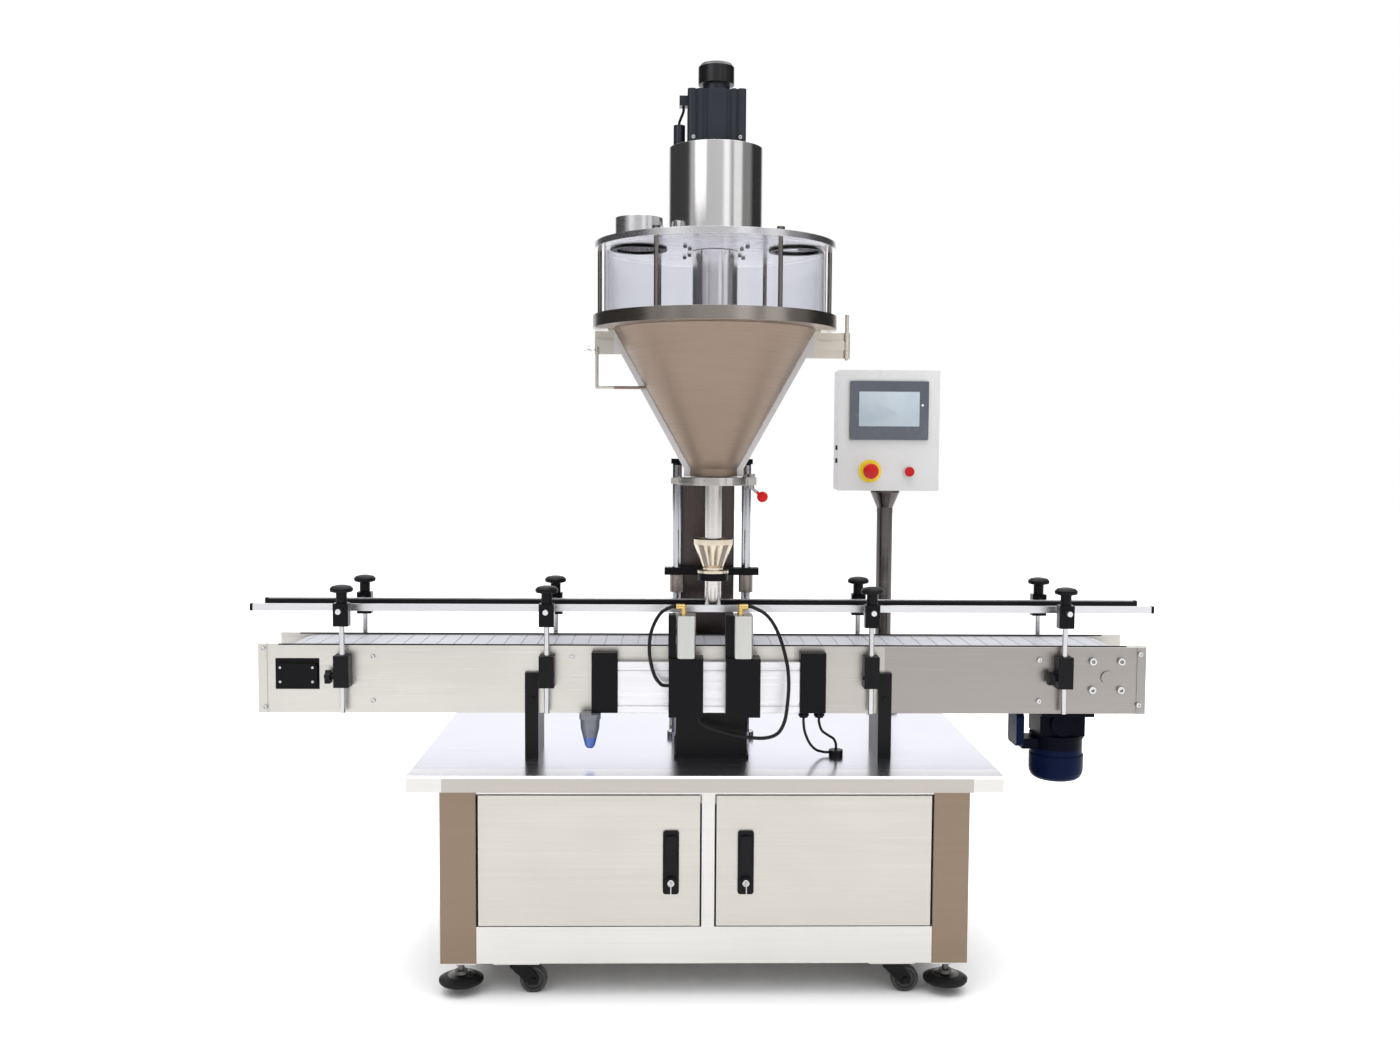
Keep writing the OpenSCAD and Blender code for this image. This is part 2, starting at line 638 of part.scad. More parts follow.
module box_column() color("dimgray") {
    translate([fill_x - 10, column_y + column_w / 2, table_z]) {
        linear_extrude(clamp_bottom - table_z) difference() {
            rounded(column_w, column_w, 6);
            rounded(column_w - 10, column_w - 10, 3);
        }
        translate([-90, -68, 0]) cube([180, 158, 10]);
        for (x = [-78, 78], y = [-56, 78]) bolt(x, y, 10 - eps, d = 18, h = 8);
    }
}
module guide_columns() color("silver") {
    for (x = [-1, 1]) translate([fill_x + x * guide_gap / 2, guide_y, 0]) {
        translate([0, 0, table_z]) cylinder(d = guide_d, h = guide_top - table_z);
        translate([0, 0, table_z]) cylinder(d = 44, h = 14);
        translate([0, 0, guide_top - eps]) cylinder(d = guide_d + 8, h = 12);
    }
}
lever_x = fill_x + clamp_d / 2 + 5;
module head_bracket() color("silver") {
    difference() {
        union() {
            at_filler() translate([0, 0, clamp_bottom]) cylinder(d = clamp_d, h = clamp_t, $fn = 96);
            block(fill_x - 62, fill_x + 54, fill_y, column_y + column_w, clamp_bottom, clamp_z);
            block(fill_x + 70, fill_x + 98, fill_y - 12, fill_y + 12, clamp_bottom, clamp_z);
            block(fill_x - 98, fill_x - 70, fill_y - 10, fill_y + 10, clamp_bottom + 2, clamp_z - 2);
        }
        at_filler() translate([0, 0, clamp_bottom - 1]) cylinder(d = 113, h = clamp_t + 2, $fn = 96);
        zrod(8 + 2 * run_gap, lever_x, fill_y, clamp_bottom - 1, clamp_z + 1);
    }
    block(fill_x - 10, fill_x + 2, column_y - 40, column_y, clamp_bottom - 30, clamp_bottom + eps);
}
module clamp_lever() color("silver") {
    translate([lever_x, fill_y, 0]) {
        translate([0, 0, clamp_bottom - 8]) cylinder(d = 8, h = clamp_t + 14);
        translate([0, 0, clamp_bottom - 9]) cylinder(d = 16, h = 8.5);
        translate([0, 0, clamp_z + 0.5]) cylinder(d = 18, h = 7);
        translate([0, 0, clamp_bottom - 5]) rotate([0, 130, 0]) cylinder(d = 7, h = 30);
        translate([0, 0, clamp_bottom - 5]) rotate([0, 130, 0]) translate([0, 0, 35]) sphere(d = 25);
    }
}

module half_cone(s) {
    r0 = cone_foot_d / 2;
    r1 = cone_top_d / 2;
    difference() {
        rotate([0, 0, s > 0 ? 0 : 180]) rotate_extrude(angle = 180, $fn = 96) polygon([
            [r0 - cone_t, cone_z0 - 17], [r0, cone_z0 - 17], [r0, cone_z0], [r1, cone_z1],
            [r1 - cone_t * 1.14, cone_z1], [r0 - cone_t, cone_z0]]);
        translate([-400, s > 0 ? -1 : -half_gap / 2, cone_z0 - 20]) cube([800, half_gap / 2 + 1, 400]);
    }
    for (x = [-1, 1]) scale([x, 1, 1]) translate([0, s > 0 ? half_gap / 2 : -half_gap / 2, 0])
        rotate([90, 0, 0]) mirror([0, 0, s > 0 ? 1 : 0]) linear_extrude(4)
            polygon([[r0 - 2, cone_z0 - 17], [r0 + flange_w, cone_z0 - 17], [r0 + flange_w, cone_z0],
                [r1 + flange_w, cone_z1], [r1 - 3, cone_z1], [r0 - 2, cone_z0]]);
}
hinge_z0 = cone_z1 - 62;
hinge_z1 = ring_z + 8;
module rear_hopper() color("silver") at_filler() {
    half_cone(1);
    difference() {
        union() {
            translate([0, half_gap / 2, 0]) rotate([90, 0, 0]) mirror([0, 0, 1]) linear_extrude(4) {
                polygon([[cone_top_d / 2 - 28, hinge_z0], [hinge_r - 8, hinge_z0], [hinge_r - 8, cone_z1 - 4],
                    [cone_top_d / 2 + 10, cone_z1 - 4]]);
                polygon([[-cone_top_d / 2 - 43, cone_z1 - 56], [-cone_top_d / 2 + 22, cone_z1 - 56],
                    [-cone_top_d / 2 - 4, cone_z1 - 4], [-cone_top_d / 2 - 43, cone_z1 - 4]]);
            }
            for (z = [hinge_z0, hinge_z0 + 40]) translate([hinge_r, 0, z]) cylinder(d = 14, h = 18);
            for (z = [hinge_z0, hinge_z0 + 40])
                translate([hinge_r - 12, half_gap / 2, z]) cube([12, 4, 18]);
        }
        translate([hinge_r, 0, hinge_z0 - 5]) cylinder(d = hinge_pin_d + 2 * run_gap, h = 120);
    }
}
module front_hopper() color("silver") at_filler() {
    half_cone(-1);
    translate([hinge_r, 0, hinge_z0 - 4]) cylinder(d = hinge_pin_d, h = hinge_z1 - hinge_z0 + 4);
    translate([hinge_r, 0, hinge_z0 + 18.4]) cylinder(d = 14, h = 21.2);
    translate([cone_top_d / 2 - 12, -half_gap / 2 - 4, hinge_z0 + 18.4]) cube([hinge_r - cone_top_d / 2 + 12, 4, 21.2]);
    rod = 7;
    hx = -cone_top_d / 2 - 38;
    top = cone_z1 - 40;
    low = cone_z1 - 132;
    translate([0, -half_gap / 2 - 4 - rod / 2 + 1, 0]) {
        zrod(rod, hx, 0, low, top);
        xrod(rod, hx - 2, -cone_foot_d / 2 - (low - cone_z0) * cone_slope - 2, 0, low);
        translate([hx, 0, low]) sphere(d = rod);
    }
    translate([0, -half_gap / 2, 0]) rotate([90, 0, 0]) linear_extrude(4)
        polygon([[-cone_top_d / 2 - 43, cone_z1 - 56], [-cone_top_d / 2 + 22, cone_z1 - 56],
            [-cone_top_d / 2 + 4, cone_z1 - 22], [-cone_top_d / 2 - 43, cone_z1 - 22]]);
}
latch_x = -cone_top_d / 2 - 52;
latch_z = cone_z1 - 47;
module latch_screw() color("silver") at_filler() {
    translate([latch_x, 0, 0]) {
        xrod(7, -16, 8.7, 0, latch_z);
        xrod(14, -8, 0, 0, latch_z);
        for (s = [-1, 1]) translate([-6, 0, latch_z]) rotate([s * 35, 0, 0]) translate([-2, -2, 0]) cube([4, 4, 17]);
    }
}
module hopper_ring() color("silver") at_filler() {
    difference() {
        ring(ring_d, cone_top_d - 12, ring_z - ring_h, ring_z);
        for (a = [0 : 60 : 300]) rotate([0, 0, a]) translate([rod_r, 0, ring_z - ring_h - 1])
            cylinder(d = rod_d + 2 * run_gap, h = ring_h + 2);
    }
}
module sight_cylinder() color("aliceblue", 0.4) at_filler()
    ring(sight_d, sight_d - 12, ring_z + seat_gap, lid_z - seat_gap);
module tie_rods() color("silver") at_filler() {
    for (a = [0 : 60 : 300]) rotate([0, 0, a]) translate([rod_r, 0, 0]) {
        translate([0, 0, ring_z - ring_h + 8]) cylinder(d = rod_d, h = sight_h + lid_t + ring_h - 2);
        translate([0, 0, housing_z + 0.2]) cylinder(d = 17, h = 7, $fn = 6);
    }
}
port_x = -172;
port_y = -40;
port_d = 106;
port_h = 52;
inlet_d = 50;
module hopper_lid() color("silver") at_filler() {
    difference() {
        union() {
            translate([0, 0, lid_z]) cylinder(d = lid_d, h = lid_t, $fn = 96);
            translate([port_x, port_y, lid_z]) cylinder(d = port_d, h = lid_t + port_h);
            translate([205, port_y, lid_z]) cylinder(d = inlet_d, h = lid_t + 12);
            translate([0, 0, housing_z - eps]) cylinder(d = housing_d + 24, h = 8, $fn = 96);
        }
        translate([port_x, port_y, lid_z - 1]) cylinder(d = port_d - 8, h = lid_t + port_h + 2);
        translate([205, port_y, lid_z - 1]) cylinder(d = inlet_d - 6, h = lid_t + 14);
        translate([0, 0, lid_z - 1]) cylinder(d = 90, h = lid_t + 12);
        for (a = [0 : 60 : 300]) rotate([0, 0, a]) translate([rod_r, 0, lid_z - 1])
            cylinder(d = rod_d + 2 * run_gap, h = lid_t + 2);
    }
    for (p = [[-84, -178, 14, 24], [-122, -166, 11, 16], [108, -178, 5, 12], [118, -174, 5, 12]])
        translate([p[0], p[1], housing_z - eps]) cylinder(d = p[2], h = p[3]);
}
module motor_housing() color("lightgray") at_filler() {
    z0 = housing_z + 8;
    difference() {
        translate([0, 0, z0]) cylinder(d = housing_d, h = housing_h - 8, $fn = 96);
        translate([0, 0, z0 - 1]) cylinder(d = housing_d - 8, h = housing_h - 8 - 6, $fn = 96);
        translate([0, 0, z0]) cylinder(d = 60, h = housing_h);
    }
}
module servo_motor() color("darkslategray") at_filler() {
    translate([0, 0, servo_z - 6 + seat_gap]) cylinder(d = 150, h = 6);
    translate([0, 0, servo_z]) difference() {
        linear_extrude(servo_h) rounded(servo_w, servo_w, 8);
        for (a = [0 : 90 : 270], s = [-1, 1]) rotate([0, 0, a]) scale([s, 1, 1]) {
            block(20, 32, servo_w / 2 - 6, servo_w / 2 + 1, 4, servo_h + 1);
            block(42, 48, servo_w / 2 - 5, servo_w / 2 + 1, 4, servo_h + 1);
        }
    }
    translate([0, 0, servo_z + servo_h - eps]) cylinder(d = 62, h = 24);
    translate([0, 0, servo_z + servo_h + 23]) rotate_extrude($fn = 64)
        polygon([[0, 0], [encoder_d / 2, 0], [encoder_d / 2, 38], [encoder_d / 2 - 5, 45], [0, 46]]);
    translate([-83, -20, servo_z - 6 + seat_gap]) cylinder(d = 26, h = 48);
    block(-servo_w / 2 - 18, -servo_w / 2 + 2, -34, -6, servo_z + 84, servo_z + 106);
    translate([0, 0, servo_z - 40]) cylinder(d = 56, h = 36);
}

function arc(r, a0, a1, n) = [for (i = [0 : n]) r * [cos(a0 + (a1 - a0) * i / n), sin(a0 + (a1 - a0) * i / n)]];
module auger() color("silver") at_filler() {
    low = feed_z + 3;
    turns = floor((clamp_z + 80 - low) / auger_pitch);
    r_in = auger_shaft_d / 2 - 0.5;
    r_out = feed_d / 2 - feed_t - 0.6;
    translate([0, 0, low]) cylinder(d = auger_shaft_d, h = servo_z - 40 - seat_gap - low);
    translate([0, 0, low + 1]) linear_extrude(turns * auger_pitch, twist = -360 * turns, slices = 16 * turns, $fn = 9)
        polygon(concat(arc(r_out, -20, 20, 4), arc(r_in, 24, -24, 3)));
}
module agitator() color("silver") at_filler() {
    sleeve_low = ring_z - 62;
    ring(104, 92, sleeve_low, lid_z - 1);
    ring(104, auger_shaft_d + 2 * run_gap, lid_z - 7, lid_z - 1);
    ring(84, auger_shaft_d + 2 * run_gap, lid_z - 2, housing_z + 20);
    for (a = [0, 180]) rotate([0, 0, a]) translate([0, 4, 0]) rotate([90, 0, 0]) linear_extrude(8)
        polygon([[50, sleeve_low], [50, sleeve_low + 26], [174, sleeve_low + 26], [187, sleeve_low + 14],
            [46, cone_z0 + 34], [26, cone_z0 + 34], [26, cone_z0 + 48], [156, sleeve_low + 4]]);
}
module feed_tube() color("silver") at_filler() {
    rotate_extrude($fn = 96) polygon([
        [feed_d / 2 - feed_t, feed_z], [feed_d / 2, feed_z], [feed_d / 2, clamp_bottom + 1], [56.2, clamp_bottom + 1],
        [56.2, clamp_z - 1], [cone_foot_d / 2 - cone_t - 4, clamp_z - 1], [feed_d / 2 - feed_t, clamp_bottom + 4]]);
}

module crossbar() color("black") {
    reach = guide_gap / 2 + 30;
    difference() {
        union() {
            block(fill_x - reach, fill_x + reach, guide_y - 17, guide_y + 17, bar_z - bar_t, bar_z);
            block(fill_x - 20, fill_x + 20, fill_y, guide_y, bar_z - bar_t, bar_z);
            at_filler() translate([0, 0, bar_z - bar_t]) cylinder(d = 70, h = bar_t);
            for (x = [-1, 1]) translate([fill_x + x * guide_gap / 2, guide_y, bar_z - bar_t - 42]) cylinder(d = 34, h = 43);
        }
        at_filler() translate([0, 0, bar_z - bar_t - 1]) cylinder(d = feed_d + 6, h = bar_t + 2);
        for (x = [-1, 1]) translate([fill_x + x * guide_gap / 2, guide_y, bar_z - bar_t - 60])
            cylinder(d = guide_d + 2 * run_gap, h = 100);
    }
}
module funnel() color("silver") at_filler() {
    r = feed_d / 2 + 1.5;
    translate([0, 0, funnel_z + 0.2]) rotate_extrude($fn = 96) polygon([
        [r, 0], [37, 0], [37, 6], [r + 3, 6], [r + 3, 12], [funnel_d / 2, 66], [funnel_d / 2, funnel_h],
        [funnel_d / 2 - 2, funnel_h], [funnel_d / 2 - 2, 67], [r, 13]]);
}

module control_post() color("dimgray") {
    y = box_front + post_back;
    translate([box_x, y, table_z]) cylinder(d = 42, h = box_z - table_z - 2);
    translate([box_x, y, table_z]) cylinder(d = 84, h = 10);
    translate([box_x, y, box_z - 46]) cylinder(d1 = 42, d2 = 76, h = 40);
    translate([box_x, y, box_z - 6 - eps]) cylinder(d = 76, h = 6 - seat_gap);
    translate([box_x, y, box_z - 6]) cylinder(d = swivel_d, h = 20);
}
module control_box() color("whitesmoke") {
    translate([box_x, 0, box_z + box_h / 2]) difference() {
        translate([0, box_front + box_d, 0]) rotate([90, 0, 0]) linear_extrude(box_d) rounded(box_w, box_h, 3);
        translate([0, box_front + 10.5, box_h / 2 - 105]) cube([screen_w - 14, 23, screen_h - 14], center = true);
        translate([0, box_front + post_back, -box_h / 2 - 1]) cylinder(d = swivel_d + 2 * run_gap, h = 17);
        translate([estop_x - box_x, box_front - 1, button_z - box_z - box_h / 2]) rotate([-90, 0, 0])
            cylinder(d = estop_d + 2 * run_gap, h = 40);
        translate([push_x - box_x, box_front - 1, button_z - box_z - box_h / 2 - 1]) rotate([-90, 0, 0])
            cylinder(d = push_d + 2 * run_gap, h = 40);
    }
    difference() {
        yrod(60, estop_x, box_front - 1.5, box_front + eps, button_z);
        yrod(estop_d + 2 * run_gap, estop_x, box_front - 3, box_front + 3, button_z);
    }
    difference() {
        yrod(32, push_x, box_front - 3, box_front + eps, button_z - 1);
        yrod(push_d + 2 * run_gap, push_x, box_front - 5, box_front + 3, button_z - 1);
    }
}
module touch_screen() color("slategray") {
    translate([box_x, box_front - seat_gap, box_z + box_h - 105]) {
        rotate([90, 0, 0]) linear_extrude(6) rounded(screen_w, screen_h, 4);
        translate([0, 8, 0]) cube([screen_w - 16, 17, screen_h - 16], center = true);
    }
}
module estop_button() color("red") {
    yrod(estop_d, estop_x, box_front - 16, box_front + 24, button_z);
    translate([estop_x, box_front - 9, button_z]) rotate([90, 0, 0]) rotate_extrude($fn = 48)
        polygon([[0, 0], [15, 0], [17, 4], [20, 10], [20, 16], [17, 20], [8, 22], [0, 22.5]]);
}
module push_button() color("red") {
    yrod(push_d, push_x, box_front - 9, box_front + 24, button_z - 1);
    yrod(25, push_x, box_front - 11, box_front - 8, button_z - 1);
}

function unit(v) = v / norm(v);
function spline(p, i, t) = let (a = p[max(i - 1, 0)], b = p[i], c = p[i + 1], d = p[min(i + 2, len(p) - 1)])
    0.5 * (2 * b + (c - a) * t + (2 * a - 5 * b + 4 * c - d) * t * t + (3 * b - a - 3 * c + d) * t * t * t);
function route(p, n) = concat([for (i = [0 : len(p) - 2], k = [0 : n - 1]) spline(p, i, k / n)], [p[len(p) - 1]]);
module hose(p, d) {
    path = route(p, 2);
    last = len(path) - 1;
    sides = 8;
    rings = [for (i = [0 : last])
        let (t = unit(i == 0 ? p[1] - p[0] : i == last ? p[len(p) - 1] - p[len(p) - 2] : path[i + 1] - path[i - 1]),
            side = abs(t[1]) > 0.9 ? [1, 0, 0] : [0, 1, 0],
            u = unit(cross(side, t)), v = cross(t, u))
        for (k = [0 : sides - 1]) path[i] + d / 2 * (cos(k * 45) * u + sin(k * 45) * v)];
    polyhedron(points = rings, faces = concat(
        [[for (k = [0 : sides - 1]) k]],
        [[for (k = [sides - 1 : -1 : 0]) last * sides + k]],
        [for (i = [0 : last - 1], k = [0 : sides - 1])
            [i * sides + k, (i + 1) * sides + k, (i + 1) * sides + (k + 1) % sides, i * sides + (k + 1) % sides]]));
}
hose_y = stop_front + 18;
elbow_z = stop_z + stop_h + 18;
left_start = stop_xs[0] - 6 - elbow_l;
right_start = stop_xs[1] - 6 + elbow_l;
left_hose = [[left_start, hose_y, elbow_z], [left_start - 10, hose_y, elbow_z],
    [-102, -277, 840], [-121, -282, 800], [-124, -282, 752], [-114, -276, 706], [-100, -268, 684],
    [-91, -265, 680], [stop_xs[0] - 38, -265, 680]];
right_hose = [[right_start, hose_y, elbow_z], [right_start + 10, hose_y, elbow_z],
    [134, -280, 838], [158, -290, 800], [176, -297, 740], [181, -300, 690], [178, -300, 640],
    [172, -297, 604], [158, -290, 578], [132, -280, 566], [96, -270, 565], [58, -262, 570], [24, -256, 578],
    [0, -252, 587], [-12, -250, 596], [-15, -250, 604], [-15, -250, conv_bottom + 6]];
foot_cable = [[gland_xs[0], gland_y, gland_z], [gland_xs[0], gland_y, 590], [225, -226, 568], [236, -222, 542],
    [252, -206, 523], [267, -192, 515], [276, grommet_y, table_z + 8],
    [grommet_x - grommet_d / 2, grommet_y, table_z + 8]];
gland_cable = [[gland_xs[1], gland_y, gland_z], [gland_xs[1], gland_y, 590], [264, -220, 570], [280, -207, 556],
    [294, -195, 545], [grommet_x, grommet_y, 532], [grommet_x, grommet_y, table_z + grommet_h]];
servo_cable = [[-55, fill_y - 20, servo_z + 84], [-55, fill_y - 20, servo_z + 74],
    [-61, fill_y - 20, servo_z + 58], [-64, fill_y - 20, servo_z + 50],
    [-64, fill_y - 20, servo_z + 42 + seat_gap]];
module air_hoses() color("black") {
    hose(left_hose, 8);
    hose(right_hose, 8);
    hose(foot_cable, 6);
    hose(gland_cable, 6);
    hose(servo_cable, 6);
}

cabinet_frame();
cabinet_panels();
table_top();
levelling_feet();
left_door();
right_door();
left_handle();
right_handle();
caster_fork_front_left();
caster_fork_front_right();
caster_fork_rear_left();
caster_fork_rear_right();
caster_wheel_front_left();
caster_wheel_front_right();
caster_wheel_rear_left();
caster_wheel_rear_right();
side_plates();
cross_members();
slat_belt();
drive_roller();
idler_roller();
gearbox();
conveyor_motor();
conveyor_legs();
post_brackets();
front_posts();
front_knobs();
front_rail();
rear_posts();
rear_knobs();
rear_rail();
stopper_beam();
stop_cylinders();
left_stop_rod();
right_stop_rod();
air_filter();
box_column();
guide_columns();
head_bracket();
clamp_lever();
rear_hopper();
front_hopper();
latch_screw();
hopper_ring();
sight_cylinder();
tie_rods();
hopper_lid();
motor_housing();
servo_motor();
auger();
agitator();
feed_tube();
crossbar();
funnel();
control_post();
control_box();
touch_screen();
estop_button();
push_button();
air_hoses();
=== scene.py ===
"""Powder filling machine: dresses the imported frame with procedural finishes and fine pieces.

Every length is in metres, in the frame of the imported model, with +Z up.
"""

import logging
import math
from dataclasses import dataclass, field
from enum import Enum

import bmesh
import bpy
from mathutils import Matrix, Vector

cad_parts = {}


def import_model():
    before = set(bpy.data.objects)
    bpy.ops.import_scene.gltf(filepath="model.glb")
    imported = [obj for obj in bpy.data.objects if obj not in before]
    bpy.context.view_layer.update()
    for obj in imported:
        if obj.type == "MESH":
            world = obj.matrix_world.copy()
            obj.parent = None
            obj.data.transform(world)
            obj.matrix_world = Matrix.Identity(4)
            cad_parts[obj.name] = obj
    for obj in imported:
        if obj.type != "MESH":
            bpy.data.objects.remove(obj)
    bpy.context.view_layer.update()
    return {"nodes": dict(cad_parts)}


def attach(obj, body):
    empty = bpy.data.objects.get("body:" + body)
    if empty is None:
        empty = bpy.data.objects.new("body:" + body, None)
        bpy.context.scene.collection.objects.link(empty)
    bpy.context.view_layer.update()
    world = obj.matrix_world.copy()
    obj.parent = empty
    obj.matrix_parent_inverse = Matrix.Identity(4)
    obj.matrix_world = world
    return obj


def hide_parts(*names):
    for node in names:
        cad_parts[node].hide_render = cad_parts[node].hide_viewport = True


LOG = logging.getLogger("powder_filler")

Point = tuple[float, float, float]
Colour = tuple[float, float, float]
Profile = list[tuple[float, float]]

# Axes and faces of the machine.
FILL_X = 0.019
FILL_Y = -0.122
CONV_FRONT = -0.211
BOX_FRONT = 0.280
BOX_LEFT = 0.355
TABLE_Z = 0.505
TABLE_FRONT = -0.3735
SERVO_Z = 1.884

# Heights and ends where one imported node changes its colour, for its own parts and for painted shade,
# highlights and reflections.
SERVO_CAP = 2.018
COLUMN_CAP = 1.163
CROSSBAR_BLACK = 0.8995
CYLINDER_TOP = 0.838
POST_BLACK = 0.8055
PLATE_EDGE = 0.7585
BOWL_TIP = 0.560
MOTOR_BLACK = 0.512
FOOT_PAD = 0.0385
LEG_EDGE = 0.4982
RAIL_END = 1.0195
RIGHT_LEG = 0.4055
BEAM_LEFT = -0.1955
BEAM_RIGHT = 0.2115
# FLANGE_HALF and CONE_REACH bound the cone's painted highlight and painted reflection.
FLANGE_HALF = 0.0048
CONE_REACH = 0.229

# A limit beyond the whole machine, and the black of caps and plugs.
FAR = 9.0
BLACK = (0.004, 0.004, 0.005)


class Axis(Enum):
    """The direction that a turned or flat piece faces."""

    UP = "up"
    DOWN = "down"
    FRONT = "front"
    BACK = "back"
    LEFT = "left"
    RIGHT = "right"

    def turn(self) -> Matrix:
        """Returns the rotation that takes +Z to this direction."""
        turns = {
            Axis.UP: Matrix.Identity(4),
            Axis.DOWN: Matrix.Rotation(math.pi, 4, "X"),
            Axis.FRONT: Matrix.Rotation(math.pi / 2, 4, "X"),
            Axis.BACK: Matrix.Rotation(-math.pi / 2, 4, "X"),
            Axis.LEFT: Matrix.Rotation(-math.pi / 2, 4, "Y"),
            Axis.RIGHT: Matrix.Rotation(math.pi / 2, 4, "Y"),
        }
        return turns[self]


class Grain(Enum):
    """The way that a brushed surface's fine scratches run."""

    ALONG_X = (4.0, 700.0, 700.0)
    ALONG_Z = (700.0, 700.0, 4.0)
    AROUND = (9.0, 9.0, 900.0)
    EVEN = (120.0, 120.0, 120.0)


class Shader:
    """Short calls for one material's nodes."""

    def __init__(self, name: str) -> None:
        """Makes the material with its Principled shader.

        Args:
            name: the material's name.
        """
        self.material = bpy.data.materials.new(name)
        self.material.use_nodes = True
        self.nodes = self.material.node_tree.nodes
        self.links = self.material.node_tree.links
        self.surface = self.nodes["Principled BSDF"]

    def add(self, kind: str, **values: object) -> bpy.types.Node:
        """Adds a node.

        Args:
            kind: the node's type name.
            values: properties, or inputs by name with spaces as underscores.

        Returns:
            The node.
        """
        node = self.nodes.new(kind)
        for key, value in values.items():
            if hasattr(node, key):
                setattr(node, key, value)
            else:
                node.inputs[key.replace("_", " ")].default_value = value
        return node

    def join(self, out: bpy.types.NodeSocket, into: bpy.types.NodeSocket) -> None:
        """Links an output to an input."""
        self.links.new(out, into)

    def place(self, scale: Point) -> bpy.types.NodeSocket:
        """Returns the object's own coordinates, scaled."""
        where = self.add("ShaderNodeTexCoord")
        mapping = self.add("ShaderNodeMapping")
        mapping.inputs["Scale"].default_value = scale
        self.join(where.outputs["Object"], mapping.inputs["Vector"])
        return mapping.outputs["Vector"]

    def noise(self, scale: Point, detail: float = 3.0) -> bpy.types.NodeSocket:
        """Returns a noise value over the object.

        Args:
            scale: how fine it is along each axis, per metre.
            detail: how many finer layers it has.

        Returns:
            The socket that carries it.
        """
        made = self.add("ShaderNodeTexNoise", Scale=1.0, Detail=detail, Roughness=0.6)
        self.join(self.place(scale), made.inputs["Vector"])
        return made.outputs["Fac"]

    def spread(self, value: bpy.types.NodeSocket, low: float, high: float) -> bpy.types.NodeSocket:
        """Returns a noise value taken from its usual range to the range from low to high."""
        made = self.add("ShaderNodeMapRange")
        made.inputs["From Min"].default_value = 0.3
        made.inputs["From Max"].default_value = 0.7
        made.inputs["To Min"].default_value = low
        made.inputs["To Max"].default_value = high
        self.join(value, made.inputs["Value"])
        return made.outputs["Result"]

    def mix(self, factor: bpy.types.NodeSocket, first: object, second: object) -> bpy.types.NodeSocket:
        """Mixes two colours.

        Args:
            factor: the share of the second colour.
            first: a colour or a socket.
            second: a colour or a socket.

        Returns:
            The socket with the mixed colour.
        """
        made = self.add("ShaderNodeMix", data_type="RGBA")
        self.join(factor, made.inputs[0])
        for index, colour in ((6, first), (7, second)):
            if isinstance(colour, tuple):
                made.inputs[index].default_value = (*colour, 1.0)
            else:
                self.join(colour, made.inputs[index])
        return made.outputs[2]

    def bump(self, height: bpy.types.NodeSocket, distance: float, strength: float = 0.4) -> None:
        """Raises the surface by a height value, over edges that are eased a little."""
        edge = self.add("ShaderNodeBevel", samples=4, Radius=0.0009)
        made = self.add("ShaderNodeBump", Distance=distance, Strength=strength)
        self.join(height, made.inputs["Height"])
        self.join(edge.outputs["Normal"], made.inputs["Normal"])
        self.join(made.outputs["Normal"], self.surface.inputs["Normal"])

    def within(self, low: Point, high: Point) -> bpy.types.NodeSocket:
        """Returns 1 inside a box of the object's own space and 0 outside it."""
        where = self.add("ShaderNodeTexCoord")
        parts = self.add("ShaderNodeSeparateXYZ")
        self.join(where.outputs["Object"], parts.inputs[0])
        result = None
        for index in range(3):
            for limit, operation in ((low[index], "GREATER_THAN"), (high[index], "LESS_THAN")):
                if abs(limit) >= FAR:
                    continue
                test = self.add("ShaderNodeMath", operation=operation)
                self.join(parts.outputs[index], test.inputs[0])
                test.inputs[1].default_value = limit
                if result is None:
                    result = test.outputs[0]
                    continue
                both = self.add("ShaderNodeMath", operation="MULTIPLY")
                self.join(result, both.inputs[0])
                self.join(test.outputs[0], both.inputs[1])
                result = both.outputs[0]
        return result


@dataclass(frozen=True)
class Zone:
    """A box of a piece that shows another colour: a black end plug, for one, and on some pieces painted
    shade, highlights and reflections.
    """

    low: Point
    high: Point
    colour: Colour
    metallic: float = 0.0

    @classmethod
    def above(cls, z: float, colour: Colour, metallic: float = 0.0) -> "Zone":
        """Returns the zone over a height."""
        return cls((-FAR, -FAR, z), (FAR, FAR, FAR), colour, metallic)

    @classmethod
    def below(cls, z: float, colour: Colour, metallic: float = 0.0) -> "Zone":
        """Returns the zone under a height."""
        return cls((-FAR, -FAR, -FAR), (FAR, FAR, z), colour, metallic)

    @classmethod
    def right_of(cls, x: float, colour: Colour, metallic: float = 0.0, low_z: float = -FAR) -> "Zone":
        """Returns the zone to the right of a place."""
        return cls((x, -FAR, low_z), (FAR, FAR, FAR), colour, metallic)

    @classmethod
    def left_of(cls, x: float, colour: Colour, metallic: float = 0.0, low_z: float = -FAR) -> "Zone":
        """Returns the zone to the left of a place."""
        return cls((-FAR, -FAR, low_z), (x, FAR, FAR), colour, metallic)


